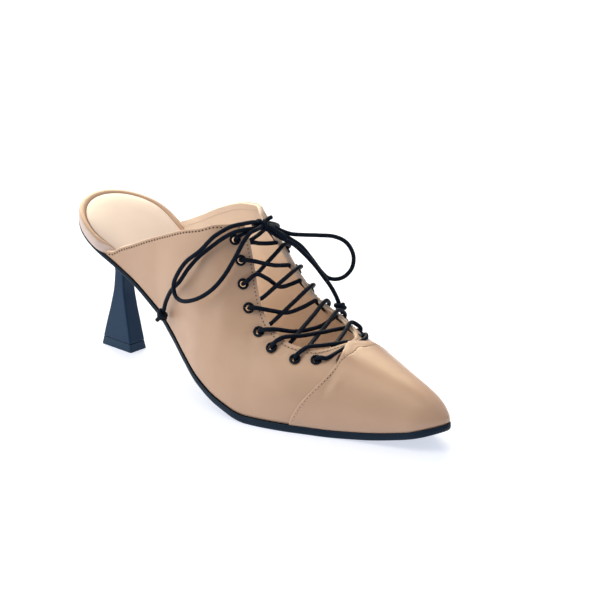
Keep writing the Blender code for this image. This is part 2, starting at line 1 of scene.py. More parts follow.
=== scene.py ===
"""Looks of a lace-up mule, right shoe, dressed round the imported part.

Lengths are in the part's own millimetres: x runs from the rear of the seat to the toe's tip, y is negative on
the lateral side and z is the height over the floor. placed() turns points into metres about the origin. Only
the floor, the lights and the materials are in metres. A share is 0 at the sole and 1 at an upper's top.
"""

import math

import bmesh
import bpy
import numpy as np
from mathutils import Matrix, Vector


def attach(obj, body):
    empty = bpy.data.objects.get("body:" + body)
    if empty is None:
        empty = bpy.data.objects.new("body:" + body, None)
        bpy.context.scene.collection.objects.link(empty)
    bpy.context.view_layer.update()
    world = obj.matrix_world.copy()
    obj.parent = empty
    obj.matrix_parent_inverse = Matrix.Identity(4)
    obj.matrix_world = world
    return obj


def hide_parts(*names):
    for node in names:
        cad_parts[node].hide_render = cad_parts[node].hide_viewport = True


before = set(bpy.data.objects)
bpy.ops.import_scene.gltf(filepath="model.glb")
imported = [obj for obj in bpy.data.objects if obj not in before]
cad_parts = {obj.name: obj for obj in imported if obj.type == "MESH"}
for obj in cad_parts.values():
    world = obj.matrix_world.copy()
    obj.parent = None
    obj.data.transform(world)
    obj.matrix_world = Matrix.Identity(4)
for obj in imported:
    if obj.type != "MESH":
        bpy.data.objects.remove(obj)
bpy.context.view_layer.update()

MM = 0.001
MIDDLE_X = 127.53
MIDDLE_Y = -2.28
LENGTH = 255.0
GAP = 0.3
SEAT_ROUND = 30.0
TOE_ROUND = 14.0
LATERAL = -1
MEDIAL = 1
SIDES = (LATERAL, MEDIAL)
UP = np.array([0.0, 0.0, 1.0])

# Upper
WALL = 2.0
FOOT_INSET = 0.6
UPPER_TOE = 253.4
CAP_STEP = 0.9
QUARTER_END = 36.5
THROAT_WIDE = 150.0
CAP_FOOT = 181.0
THROAT_FRONT = 188.0
CAP_BOW = 10.0
CAP_BOW_REAR = 14.0
CAP_BOW_FRONT = 26.0
CAP_BOW_START = (148.0, 156.0)
CAP_BOW_POWER = 1.2
UNDERLAP = 7.0
# Materials of the upper's pieces, by their number; the last is painted shade in the toe cap's gap.
OUTSIDE, LINING, CUT_EDGE, PAINTED_SHADE = range(4)

# Insole, heel and lace
RIM_EDGE = 0.9
RIM_OVERHANG = 1.0
TUCKED_EDGE = 3.4
TUCK = (32.0, 43.0)
MEDIAL_TUCK_LATER = 6.0
RIM_WIDTH = 3.95
# Rows of the insole's underside and rim side in the paler rim material: painted sheen on the rim's tan
# leather.
RIM_SIDE_ROWS = 10
INSOLE_TOE = 12.0
HEEL_X = 28.2
TOP_PIECE_HEIGHT = 4.7
TOP_PIECE_FLARE = 1.6
LACE = 2.3


class Stations:
    """Named sizes in rows along one axis, read with a smooth curve that never overshoots its rows."""

    def __init__(self, columns, rows):
        self.places = np.array([row[0] for row in rows])
        self.values = {name: np.array([row[i + 1] for row in rows]) for i, name in enumerate(columns[1:])}
        self.slopes = {name: self.find_slopes(values) for name, values in self.values.items()}

    def find_slopes(self, values):
        steps = np.diff(self.places)
        rises = np.diff(values) / steps
        slopes = np.zeros(len(values))
        slopes[0], slopes[-1] = rises[0], rises[-1]
        for i in range(1, len(values) - 1):
            if rises[i - 1] * rises[i] > 0.0:
                weight = 2.0 * steps[i] + steps[i - 1]
                next_weight = steps[i] + 2.0 * steps[i - 1]
                slopes[i] = (weight + next_weight) / (weight / rises[i - 1] + next_weight / rises[i])
        return slopes

    def at(self, name, place):
        place = np.clip(np.asarray(place, float), self.places[0], self.places[-1])
        row = np.clip(np.searchsorted(self.places, place, side="right") - 1, 0, len(self.places) - 2)
        step = self.places[row + 1] - self.places[row]
        t = (place - self.places[row]) / step
        values, slopes = self.values[name], self.slopes[name]
        start = values[row] * (1.0 + 2.0 * t) + slopes[row] * step * t
        end = values[row + 1] * (3.0 - 2.0 * t) + slopes[row + 1] * step * (t - 1.0)
        return start * (1.0 - t) ** 2 + end * t * t


PROFILE = Stations(("x", "bottom", "outsole", "insole"), (
    (0.0, 76.3, 2.4, 5.9),
    (20.0, 68.1, 2.3, 5.9),
    (40.0, 57.9, 2.3, 5.6),
    (60.0, 46.1, 2.5, 4.9),
    (80.0, 33.4, 3.0, 4.2),
    (100.0, 21.5, 3.2, 3.6),
    (120.0, 11.3, 3.3, 3.1),
    (140.0, 3.9, 3.5, 2.8),
    (158.0, 0.0, 3.9, 2.6),
    (196.0, 0.0, 4.0, 2.6),
    (215.0, 1.2, 4.0, 2.6),
    (235.0, 4.5, 3.9, 2.6),
    (255.0, 10.6, 3.8, 2.6),
))

OUTLINE = Stations(("x", "lateral", "medial", "axis"), (
    (0.0, 29.4, 29.4, 0.0),
    (30.0, 29.6, 29.6, 0.0),
    (45.0, 27.6, 29.2, 0.0),
    (60.0, 25.9, 27.6, 0.0),
    (75.0, 26.2, 24.6, 0.0),
    (90.0, 29.8, 22.6, 0.0),
    (105.0, 35.3, 23.4, 0.0),
    (120.0, 40.4, 27.6, 0.0),
    (135.0, 43.0, 33.2, 0.5),
    (147.0, 43.5, 37.0, 1.0),
    (160.0, 41.6, 38.9, 1.6),
    (175.0, 37.2, 38.0, 2.3),
    (190.0, 30.8, 34.4, 3.0),
    (205.0, 24.2, 29.4, 3.4),
    (220.0, 18.0, 23.4, 3.7),
    (235.0, 12.2, 17.6, 3.8),
    (255.0, 5.2, 10.6, 3.8),
))

LAST = Stations(("x", "ridge", "lateral_square", "medial_square", "lateral_bulge", "medial_bulge"), (
    (30.0, 130.0, 2.3, 2.3, 1.0, 3.0),
    (42.0, 129.3, 2.3, 2.3, 1.7, 7.0),
    (60.0, 128.0, 2.3, 2.3, 3.0, 3.0),
    (90.0, 122.0, 2.1, 2.2, 2.0, 6.0),
    (110.0, 112.0, 1.9, 2.1, 0.5, 5.0),
    (129.0, 90.0, 1.75, 2.05, 0.0, 2.0),
    (139.0, 72.8, 1.75, 2.15, 0.0, 0.5),
    (150.0, 58.6, 1.85, 2.3, 0.0, 0.0),
    (164.0, 49.6, 2.05, 2.6, 0.5, 0.5),
    (175.0, 44.8, 2.2, 2.45, 1.0, 0.8),
    (189.0, 40.8, 2.3, 2.4, 1.2, 1.0),
    (205.0, 36.6, 2.3, 2.3, 1.2, 1.2),
    (220.0, 32.6, 2.25, 2.25, 1.0, 1.0),
    (235.0, 28.2, 2.25, 2.25, 0.6, 0.6),
    (245.0, 23.8, 2.2, 2.2, 0.3, 0.3),
    (250.0, 20.4, 2.2, 2.2, 0.0, 0.0),
    (253.4, 17.6, 2.2, 2.2, 0.0, 0.0),
))

EDGE = Stations(("x", "lateral", "medial"), (
    (36.5, 0.006, 0.020),
    (39.5, 0.018, 0.045),
    (42.5, 0.031, 0.065),
    (45.5, 0.054, 0.086),
    (48.5, 0.079, 0.109),
    (61.0, 0.170, 0.207),
    (73.5, 0.268, 0.310),
    (85.0, 0.360, 0.402),
    (96.0, 0.452, 0.490),
    (107.0, 0.551, 0.588),
    (114.0, 0.642, 0.676),
    (119.5, 0.730, 0.780),
    (123.0, 0.812, 0.834),
    (125.5, 0.842, 0.838),
    (128.8, 0.825, 0.812),
    (135.7, 0.774, 0.760),
    (141.5, 0.722, 0.706),
    (147.2, 0.687, 0.668),
    (155.0, 0.657, 0.646),
    (165.0, 0.650, 0.645),
    (174.0, 0.680, 0.674),
    (181.7, 0.742, 0.784),
    (186.0, 0.850, 0.890),
    (188.0, 1.000, 1.000),
))

HEEL = Stations(("height", "depth", "width", "corner", "middle", "slope"), (
    (5.0, 22.0, 11.4, 0.8, -6.6, 0.0),
    (14.0, 17.6, 10.6, 0.8, -6.3, 0.0),
    (25.0, 12.0, 9.6, 0.8, -5.9, 0.0),
    (36.0, 7.8, 9.0, 0.9, -5.5, 0.0),
    (43.0, 7.2, 9.2, 1.2, -5.0, 0.1),
    (49.0, 10.0, 12.0, 2.5, -4.4, 0.3),
    (54.0, 17.0, 18.0, 6.0, -3.8, 0.6),
    (58.5, 28.0, 28.0, 11.5, -3.2, 0.85),
    (61.5, 39.0, 38.0, 17.0, -2.6, 1.0),
    (63.2, 45.0, 44.0, 20.0, -2.4, 1.0),
))

# Eyelets, counted from the top: station, then distance from the axis on the lateral and the medial side.
EYELETS = (
    (124.7, 15.6, 15.6),
    (130.6, 17.7, 17.7),
    (135.4, 21.2, 21.2),
    (141.8, 23.9, 23.9),
    (151.0, 26.6, 26.6),
    (161.2, 28.3, 28.3),
    (175.3, 26.4, 25.0),
    (184.8, 21.1, 15.6),
)

# Routes of the bow, each from the knot outwards.
KNOT = (129.9, 0.0, 92.6)
LEFT_LOOP = (
    (129.4, -6.4, 95.5), (128.0, -13.0, 95.8), (124.8, -18.2, 94.9), (121.8, -22.4, 92.5),
    (119.5, -26.4, 89.8), (115.3, -32.2, 82.7), (109.4, -36.6, 76.4), (104.4, -38.4, 68.4),
    (101.9, -38.6, 62.4), (103.8, -39.4, 57.2), (107.9, -40.2, 55.8), (113.3, -40.6, 56.5),
    (121.5, -38.6, 60.1), (127.5, -34.6, 65.7), (130.4, -29.6, 72.0), (131.6, -25.4, 77.6),
    (132.1, -21.8, 82.2), (132.2, -16.6, 88.2), (132.2, -11.6, 91.6), (132.6, -6.8, 92.5),
)
LEFT_END = (
    (129.7, -6.0, 92.2), (128.7, -13.0, 92.7), (126.4, -18.8, 91.9), (122.5, -22.6, 88.8),
    (118.8, -25.6, 85.1), (113.1, -30.2, 78.9), (108.5, -34.0, 71.9), (103.0, -35.2, 63.7),
    (96.4, -35.0, 57.0), (91.1, -34.0, 49.0), (87.5, -33.4, 40.6), (83.8, -33.8, 36.7),
)
RIGHT_LOOP = (
    (131.9, 5.4, 91.2), (134.1, 9.6, 88.2), (137.0, 14.2, 85.9), (140.3, 21.0, 84.5),
    (143.8, 28.0, 83.4), (148.6, 36.0, 81.8), (152.5, 41.0, 78.2), (154.9, 44.0, 71.0),
    (155.0, 43.0, 64.1), (152.9, 39.0, 59.5), (149.9, 35.0, 58.4), (147.4, 32.0, 59.5),
    (145.3, 29.2, 63.0), (142.3, 24.6, 70.8), (139.9, 19.2, 78.4), (138.3, 13.0, 83.4),
    (136.1, 7.4, 87.5),
)
RIGHT_END = (
    (134.3, 3.2, 88.3), (138.0, 5.4, 86.0), (142.1, 10.6, 82.2), (145.5, 15.2, 76.7),
    (148.6, 20.0, 70.1), (151.1, 25.4, 61.9), (152.6, 29.2, 55.9), (155.4, 30.4, 50.6),
    (157.7, 30.8, 45.6), (159.0, 31.4, 42.1),
)

# The photo's camera: it looks at a point of the shoe that lies off the picture's middle by so many pixels.
CAMERA_AZIMUTH = math.radians(43.453)
CAMERA_ELEVATION = math.radians(20.441)
CAMERA_DISTANCE = 1172.144
CAMERA_TARGET = (127.0, 0.0, 35.0)
FOCAL_PIXELS = 2193.1
IMAGE_SIDE = 600.0
SENSOR = 36.0
TARGET_LEFT = 41.257
TARGET_DOWN = 26.5
TO_CAMERA = np.array([
    math.sin(CAMERA_AZIMUTH) * math.cos(CAMERA_ELEVATION),
    -math.cos(CAMERA_AZIMUTH) * math.cos(CAMERA_ELEVATION),
    math.sin(CAMERA_ELEVATION),
])


# Vectors, curves and lines

LEAST_LENGTH = 1e-9


def unit(vectors):
    vectors = np.asarray(vectors, float)
    return vectors / np.maximum(np.linalg.norm(vectors, axis=-1, keepdims=True), LEAST_LENGTH)


def along_face(start, normal, end):
    """Direction from start towards end, within the face that has this normal."""
    way = end - start
    return unit(way - normal * np.dot(way, normal))


def circle(a, b, count):
    """Points round the origin, on the circle or ellipse that a and b span."""
    angles = 2.0 * np.pi * np.arange(count)[:, None] / count
    return np.cos(angles) * a + np.sin(angles) * b


def smooth_step(value, start, end):
    t = np.clip((np.asarray(value, float) - start) / (end - start), 0.0, 1.0)
    return t * t * (3.0 - 2.0 * t)


def bell(distance, width):
    """1 at no distance, fading smoothly to both sides."""
    return np.exp(-((distance / width) ** 2))


def stretches(*parts):
    """Places along neighbouring stretches, each given as (start, end, count)."""
    return np.concatenate([np.linspace(*part)[:-1] for part in parts[:-1]] + [np.linspace(*parts[-1])])


def arc_lengths(points):
    """Length along a line, from its start to each of its points."""
    return np.concatenate([[0.0], np.cumsum(np.linalg.norm(np.diff(points, axis=0), axis=1))])


def line_at(place, lengths, points):
    """Points of a line at the given lengths along it."""
    return np.stack([np.interp(place, lengths, points[:, k]) for k in range(3)], -1)


def resample(points, spacing):
    points = np.asarray(points, float)
    lengths = arc_lengths(points)
    count = max(2, int(round(lengths[-1] / spacing)))
    return line_at(np.linspace(0.0, lengths[-1], count + 1), lengths, points)


ROUTE_STEPS = 24
LEAST_GAP = 1e-3


def smooth_route(route, spacing):
    """Evenly spaced points on a smooth curve through the route's own points."""
    knots = np.asarray(route, float)
    knots = np.concatenate([[2.0 * knots[0] - knots[1]], knots, [2.0 * knots[-1] - knots[-2]]])
    fine = []
    for a, b, c, d in zip(knots, knots[1:], knots[2:], knots[3:]):
        gaps = [max(np.linalg.norm(q - p) ** 0.5, LEAST_GAP) for p, q in ((a, b), (b, c), (c, d))]
        into = (b - a) / gaps[0] - (c - a) / (gaps[0] + gaps[1]) + (c - b) / gaps[1]
        out = (c - b) / gaps[1] - (d - b) / (gaps[1] + gaps[2]) + (d - c) / gaps[2]
        into, out = into * gaps[1], out * gaps[1]
        for t in np.arange(ROUTE_STEPS) / ROUTE_STEPS:
            fine.append(
                (2 * t**3 - 3 * t**2 + 1) * b
                + (t**3 - 2 * t**2 + t) * into
                + (3 * t**2 - 2 * t**3) * c
                + (t**3 - t**2) * out
            )
    fine.append(knots[-2])
    return resample(fine, spacing)


# The shoe's form


def side_name(side):
    return "lateral" if side == LATERAL else "medial"


def axis_at(x):
    return OUTLINE.at("axis", x)


def end_round(x, rear=0.0, front=LENGTH):
    x = np.asarray(x, float)
    past_seat = np.maximum(0.0, rear + SEAT_ROUND - x) / SEAT_ROUND
    past_toe = np.maximum(0.0, x - front + TOE_ROUND) / TOE_ROUND
    past = np.maximum(past_seat, past_toe)
    return np.sqrt(np.maximum(0.0, 1.0 - past * past))


def reach(x, side, inset=0.0, rear=0.0, front=LENGTH):
    full = OUTLINE.at(side_name(side), x) - side * axis_at(x)
    return (full - inset) * end_round(x, rear, front)


def sole_bottom(x):
    return PROFILE.at("bottom", x)


def sole_top(x):
    return sole_bottom(x) + PROFILE.at("outsole", x)


def insole_top(x):
    return sole_top(x) + GAP + PROFILE.at("insole", x)


def last_point(x, share, side):
    """Points of the upper's outer face: share is 0 at the sole and 1 on the ridge."""
    x, share = np.broadcast_arrays(np.asarray(x, float), np.asarray(share, float))
    name = side_name(side)
    power = 2.0 / LAST.at(name + "_square", x)
    angle = 0.5 * np.pi * np.clip(share, 0.0, 1.0)
    climb = np.sin(angle) ** power
    lean = np.maximum(0.0, np.cos(angle)) ** power
    foot = sole_top(x) + GAP
    bulge = LAST.at(name + "_bulge", x) * end_round(x, 0.0, UPPER_TOE) * np.sin(np.pi * climb)
    width = reach(x, side, FOOT_INSET, 0.0, UPPER_TOE) * lean + np.maximum(0.0, bulge)
    height = foot + climb * (LAST.at("ridge", x) - foot)
    return np.stack([x, axis_at(x) + side * width, height], -1)


def edge_share(x, side):
    """Share, on the last, of the upper's free edge."""
    return np.where(np.asarray(x) < THROAT_FRONT, EDGE.at(side_name(side), x), 1.0)


def upper_row(foot):
    """Place on the free edge, and forward bow, of the row that starts at foot on the sole."""
    foot = np.asarray(foot, float)
    turn = np.clip((foot - THROAT_WIDE) / (CAP_FOOT - THROAT_WIDE), 0.0, 1.0)
    throat = THROAT_WIDE + (THROAT_FRONT - THROAT_WIDE) * np.sin(0.5 * np.pi * turn)
    along = (foot - CAP_FOOT) / (UPPER_TOE - CAP_FOOT)
    toe = THROAT_FRONT + (UPPER_TOE - THROAT_FRONT) * along
    edge = np.where(foot < THROAT_WIDE, foot, np.where(foot < CAP_FOOT, throat, toe))
    fade = np.where(foot < CAP_FOOT, CAP_BOW_REAR, CAP_BOW_FRONT)
    return edge, CAP_BOW * bell(foot - CAP_FOOT, fade) * smooth_step(foot, *CAP_BOW_START)


def upper_point(foot, share, side):
    """Points of the upper's outer face: share is 0 at the sole and 1 on the free edge or the ridge."""
    foot, share = np.broadcast_arrays(np.asarray(foot, float), np.asarray(share, float))
    edge, bow = upper_row(foot)
    x = foot + (edge - foot) * share + bow * np.sin(np.pi * share**CAP_BOW_POWER)
    return last_point(np.minimum(x, UPPER_TOE), share * edge_share(edge, side), side)


def face_normal(point_at, x, share, side, step, share_step):
    """Outward normal of the face whose points point_at gives, from its neighbours a step away."""
    along = point_at(x + step, share, side) - point_at(x - step, share, side)
    up = point_at(x, np.minimum(share + share_step, 1.0), side) - point_at(x, share - share_step, side)
    return unit(np.cross(along, up) * -side)


LAST_STEP = (0.2, 0.01)
UPPER_STEP = (0.1, 0.004)


def last_normal(x, share, side):
    return face_normal(last_point, x, share, side, *LAST_STEP)


def upper_normal(foot, share, side):
    return face_normal(upper_point, foot, share, side, *UPPER_STEP)


def sheet_normals(points, side, crest=1.0):
    """Outward normals of a sheet of points: level at the sole, and with only crest of their slant on top."""
    normals = unit(np.cross(np.gradient(points, axis=0), np.gradient(points, axis=1)) * -side)
    normals[:, 0, 2] = 0.0
    normals[:, -1, 1] *= crest
    return unit(normals)


LOWEST_EYELET_SHARE = 0.3
HALVINGS = 40
FACING = np.linspace(122.0, 187.5, 300)
BELOW_EDGE = 0.02


def share_at_reach(x, distance, side):
    """Share, on the last, of the point at this distance from the axis, found by halving."""
    low, high = LOWEST_EYELET_SHARE, 1.0
    for _ in range(HALVINGS):
        middle = 0.5 * (low + high)
        if side * (last_point(x, middle, side)[1] - axis_at(x)) > distance:
            low = middle
        else:
            high = middle
    return low


def eyelet_frame(number, side):
    """Centre on the leather, outward normal and the direction towards the facing's edge."""
    x, lateral, medial = EYELETS[number]
    share = share_at_reach(x, lateral if side == LATERAL else medial, side)
    centre = last_point(x, share, side)
    normal = last_normal(x, share, side)
    line = last_point(FACING, edge_share(FACING, side), side)
    nearest = line[np.linalg.norm(line - centre, axis=1).argmin()]
    return centre, normal, along_face(centre, normal, nearest)


def facing_frame(x, side):
    """Point on the facing's edge, outward normal and the direction into the throat."""
    share = float(edge_share(x, side))
    point = last_point(x, share, side)
    normal = last_normal(x, share - BELOW_EDGE, side)
    middle = np.array([x, float(axis_at(x)), point[2]])
    return point, normal, along_face(point, normal, middle)


# Meshes


def placed(points):
    return (np.asarray(points, float) - np.array([MIDDLE_X, MIDDLE_Y, 0.0])) * MM


def put(name, data):
    """A new object in the scene."""
    item = bpy.data.objects.new(name, data)
    bpy.context.scene.collection.objects.link(item)
    return item


def ring_faces(rows, count, closed_rows=False):
    """Quads between neighbouring closed rings of equal count."""
    faces = []
    for row in range(rows if closed_rows else rows - 1):
        ahead = (row + 1) % rows
        for i in range(count):
            j = (i + 1) % count
            faces.append((row * count + i, row * count + j, ahead * count + j, ahead * count + i))
    return faces


SAME_PLACE = 1e-7


class Shape:
    """Points and faces of a mesh under construction, with a material number for each face."""

    def __init__(self):
        self.points = []
        self.faces = []
        self.slots = []
        self.count = 0

    def add(self, points, faces, slots=None):
        """Faces over these points. The ones that slots leaves over have the first material."""
        points = np.asarray(points, float).reshape(-1, 3)
        slots = [] if slots is None else [int(slot) for slot in np.ravel(slots)]
        self.points.append(points)
        self.faces.extend([tuple(int(i) + self.count for i in face) for face in faces])
        self.slots.extend(slots + [0] * (len(faces) - len(slots)))
        self.count += len(points)

    def add_stack(self, rings, open_start=False):
        """A stack of rings with a face at its end, and one at its start unless that stays open."""
        count = len(rings[0])
        faces = ring_faces(len(rings), count)
        if not open_start:
            faces.append(tuple(range(count))[::-1])
        faces.append(tuple((len(rings) - 1) * count + i for i in range(count)))
        self.add(np.concatenate(rings), faces)

    def build(self, name, materials):
        mesh = bpy.data.meshes.new(name)
        mesh.from_pydata(placed(np.concatenate(self.points)).tolist(), [], self.faces)
        for material in materials:
            mesh.materials.append(material)
        mesh.polygons.foreach_set("material_index", np.array(self.slots, np.int32))
        mesh.polygons.foreach_set("use_smooth", np.ones(len(self.faces), bool))
        mesh.validate()
        mesh.update()
        return put(name, mesh)

    def build_outward(self, name, materials):
        """Builds the mesh with its faces turned outwards."""
        item = self.build(name, materials)
        work = bmesh.new()
        work.from_mesh(item.data)
        bmesh.ops.remove_doubles(work, verts=work.verts, dist=SAME_PLACE)
        bmesh.ops.recalc_face_normals(work, faces=work.faces)
        work.to_mesh(item.data)
        work.free()
        return item


CORD_SIDES = 16
# Rounded end of a cord: shares of a quarter turn from the tip, and its length over the cord's radius.
END_TURNS = (0.15, 0.55, 1.0)
END_LENGTH = 0.6
TWIST_START = (0.31, 0.17, 0.94)


def tube(shape, path, radius):
    """Round cord along a path, with rounded ends."""
    tangents = unit(np.gradient(path, axis=0))
    side = unit(np.cross(tangents[0], TWIST_START))
    rings = []
    for i, (point, along) in enumerate(zip(path, tangents)):
        side = unit(side - along * np.dot(side, along))
        ring = radius * circle(side, np.cross(along, side), CORD_SIDES)
        if 0 < i < len(path) - 1:
            rings.append(point + ring)
            continue
        way, turns = (-along, END_TURNS) if i == 0 else (along, END_TURNS[::-1])
        for turn in turns:
            angle = 0.5 * math.pi * turn
            end = point + way * radius * END_LENGTH * math.cos(angle)
            rings.append(end + ring * math.sin(angle))
    shape.add_stack(rings)


# Quarters

# Soft creases: the line's points, depth (a ridge is negative) and half width.
CREASES = (
    (((197.4, -17.0, 32.0), (197.2, -21.5, 27.8), (195.8, -25.6, 21.8)), 0.40, 2.4),
    (((201.6, -15.5, 32.4), (200.6, -19.6, 28.6), (198.6, -24.2, 22.4)), -0.30, 3.0),
    (((166.0, -29.5, 36.5), (171.0, -30.0, 33.0)), 0.35, 2.0),
    (((164.2, -28.0, 37.0), (166.7, -27.4, 36.6), (168.1, -26.0, 37.4), (168.8, -23.7, 38.9)), 0.45, 1.1),
    (((155.0, -27.0, 41.5), (157.6, -26.3, 41.2), (158.7, -25.0, 41.9)), 0.45, 1.1),
    (((147.0, -28.0, 46.0), (152.0, -31.5, 39.0)), 0.35, 3.0),
    (((96.0, -33.0, 46.0), (104.0, -36.0, 36.0), (112.0, -38.0, 27.0)), 0.4, 6.0),
)
CREASE_SPACING = 1.0
CREASE_TAPER = 0.6
# How far each eyelet, from the top, pulls the leather in round itself.
DENTS = (0.15, 0.15, 0.15, 0.25, 0.5, 1.1, 0.8, 0.4)
DENT_REACH = 3.9
# Creases and dents fade in between these distances from the free edge.
FOLD_START = (0.5, 4.0)
FOOT_TUCK = 0.7
FOOT_TUCK_HEIGHT = 1.5
# Section of a cut edge, from the outer face to the lining: depth into the wall and reach past the edge.
RIM = ((0.14, 0.16), (0.46, 0.26), (0.80, 0.14), (0.98, -0.45), (1.16, 0.14), (1.52, 0.30), (1.86, 0.16))
RIM_LINING = 4
# The lining's border along the edge.
BORDER = 3.6
BORDER_SOFT = 0.3
BORDER_STEP = 0.22
# The seam's distance from the edge on the topline and the facing, where that changes, and its groove, which
# ends under the toe cap.
TOPLINE_STITCH = 1.5
FACING_STITCH = 2.4
STITCH_CHANGE = (112.0, 124.0)
GROOVE = 0.14
GROOVE_WIDTH = 0.42
GROOVE_END = (-3.0, 1.0)
# Seams along a quarter's edge: first and last station, depth, size of the pits (painted shade) and the
# thread's radius.
EDGE_SEAMS = ((41.0, 121.0, 0.03, 0.60, 0.18), (121.0, 179.0, 0.08, 0.40, 0.25))
# Rows along the sole, and columns up the leather, which lie closer together near the edge.
QUARTER_ROWS = ((QUARTER_END, 100.0, 66), (100.0, 150.0, 66), (150.0, CAP_FOOT + UNDERLAP, 70))
QUARTER_COLUMNS = (5.4, 18, 58)
ROW_SAMPLES = np.linspace(0.0, 1.0, 400) ** 1.15
# The tongue under the toe cap: where it starts to drop, and by how much.
TONGUE_START = 1.5
TONGUE_DROP = 0.5

# The toe cap stands off the quarter beside the throat: by how much, at which share, how far up and forward.
CRESCENT = 0.9
CRESCENT_SHARE = 0.80
CRESCENT_WIDTH = 0.09
CRESCENT_LENGTH = 9.0
# The quarter dips there, and the gap between the two is darkened with painted shade.
DIP = 1.3
DIP_BEHIND = 0.8
DIP_LENGTH = 1.7
SHADE_CENTRE = 0.78
SHADE_WIDTH = 3.4
SHADE_SHARE = 0.13
SHADE_AHEAD = 1.0


def crease_depth(points):
    """How far the creases push the leather in, at each point."""
    total = np.zeros(points.shape[:-1])
    for line, depth, width in CREASES:
        line = smooth_route(line, CREASE_SPACING)
        gaps = np.linalg.norm(points[..., None, :] - line, axis=-1)
        along = np.clip((gaps.argmin(-1) + 0.5) / len(line), 0.0, 1.0)
        total += depth * np.sin(np.pi * along) ** CREASE_TAPER * bell(gaps.min(-1), width)
    return total


def eyelet_dents(points, side):
    """How far the eyelets pull the leather in, at each point."""
    total = np.zeros(points.shape[:-1])
    for number, depth in enumerate(DENTS):
        centre = eyelet_frame(number, side)[0]
        total += depth * bell(np.linalg.norm(points - centre, axis=-1), DENT_REACH)
    return total


def foot_tuck(points):
    """How far the leather turns in just over the sole."""
    over = points[..., 2] - sole_top(points[..., 0]) - GAP
    return FOOT_TUCK * (1.0 - smooth_step(over, 0.0, FOOT_TUCK_HEIGHT))


def edge_stitch(foot):
    """Distance of the seam from the quarter's free edge: closer along the topline than on the facing."""
    return TOPLINE_STITCH + (FACING_STITCH - TOPLINE_STITCH) * smooth_step(foot, *STITCH_CHANGE)


def shares_by_length(foot, side, fine_length, fine_count, coarse_count):
    """Shares of one row, close together over fine_length below the free edge, and their distance from it."""
    lengths = arc_lengths(upper_point(foot, ROW_SAMPLES, side))
    total = lengths[-1]
    near = min(fine_length, 0.5 * total)
    at = stretches((0.0, total - near, coarse_count + 1), (total - near, total, fine_count + 1))
    return np.interp(at, lengths, ROW_SAMPLES), total - at


def build_quarter(side, materials):
    """One quarter: a closed shell with a cut edge, from the seat to under the toe cap."""
    feet = stretches(*QUARTER_ROWS)
    rows = [shares_by_length(foot, side, *QUARTER_COLUMNS) for foot in feet]
    shares, depth = (np.array(values) for values in zip(*rows))
    base = upper_point(feet[:, None], shares, side)
    normals = sheet_normals(base, side)
    ahead = (feet - CAP_FOOT)[:, None]
    groove = bell(depth - edge_stitch(feet)[:, None], GROOVE_WIDTH) * (1.0 - smooth_step(ahead, *GROOVE_END))
    dip = bell(ahead + DIP_BEHIND, DIP_LENGTH) * bell(shares - CRESCENT_SHARE, CRESCENT_WIDTH)
    folds = (crease_depth(base) + eyelet_dents(base, side)) * smooth_step(depth, *FOLD_START)
    tongue = TONGUE_DROP * smooth_step(ahead, TONGUE_START, UNDERLAP)
    sunk = GROOVE * groove + DIP * dip + foot_tuck(base) + folds + tongue
    outer = base - normals * sunk[..., None]
    border = BORDER_STEP * (1.0 - smooth_step(depth, BORDER - BORDER_SOFT, BORDER + BORDER_SOFT))
    inner = base - normals * (WALL + border)[..., None]
    beyond = unit(base[:, -1] - base[:, -2])
    rim = np.stack([base[:, -1] - normals[:, -1] * down + beyond * out for down, out in RIM], 1)
    rings = np.concatenate([outer, rim, inner[:, ::-1]], 1)
    count, columns = rings.shape[1], outer.shape[1]
    # Faces just behind the toe cap's edge, beside the throat, get painted shade.
    shade = SHADE_WIDTH * (1.0 - ((shares - SHADE_CENTRE) / SHADE_SHARE) ** 2)
    in_shade = (ahead < SHADE_AHEAD) & (-ahead < shade)
    slots = np.full((len(rings) - 1, count), LINING)
    slots[:, :columns + RIM_LINING - 1] = CUT_EDGE
    slots[:, :columns - 1] = np.where(in_shade[:-1, :-1], PAINTED_SHADE, OUTSIDE)
    faces = ring_faces(len(rings), count)
    for start in (0, (len(rings) - 1) * count):
        for i in range(count // 2):
            corners = (start + i, start + i + 1, start + count - 2 - i, start + count - 1 - i)
            faces.append(tuple(dict.fromkeys(corners)))
    shape = Shape()
    shape.add(rings, faces, slots)
    return shape.build_outward("quarter_" + side_name(side), materials)


# Toe cap

# The ridge that the lace's lowest bar raises in the cap on top of the throat.
LACE_RIDGE = 0.12
LACE_RIDGE_PLACE = 2.6
LACE_RIDGE_WIDTH = 1.6
LACE_RIDGE_START = (0.78, 0.92)
# The seam's distance from the rear edge, which grows on top of the throat, its groove, pits of painted shade
# and thread.
CAP_STITCH = 1.15
CAP_STITCH_TOP = 7.2
CAP_STITCH_CHANGE = (0.68, 1.0)
CAP_SEAM = (0.04, 0.985)
CAP_SEAM_DEPTH = 0.14
CAP_GROOVE = 0.18
CAP_GROOVE_WIDTH = 0.45
CAP_PIT = 0.34
CAP_THREAD = 0.27
# The leather swells between the seam and the edge.
PILLOW = 0.08
PILLOW_PLACE = 0.8
PILLOW_WIDTH = 0.6
# Section of the rear edge, from the outer face down: share of the thickness and reach past the edge.
CAP_RIM = ((0.15, 0.14), (0.5, 0.22), (0.85, 0.14))
# How far the cap lies over the quarter's tongue, and where that ends and its own lining begins.
CAP_OVER = 0.06
CAP_LINING_START = UNDERLAP - 0.5
# Rows over the seam, on to the toe's round end and over that, ending just short of the tip; columns up the
# leather; and the share of the normals' slant that is left on the ridge.
CAP_SEAM_ROWS = 28
CAP_SEAM_REACH = 8.1
CAP_ROWS = 58
TIP_ROWS = 30
TIP_GAP = 0.002
CAP_COLUMNS = (8.0, 10, 54)
CREST = 0.3


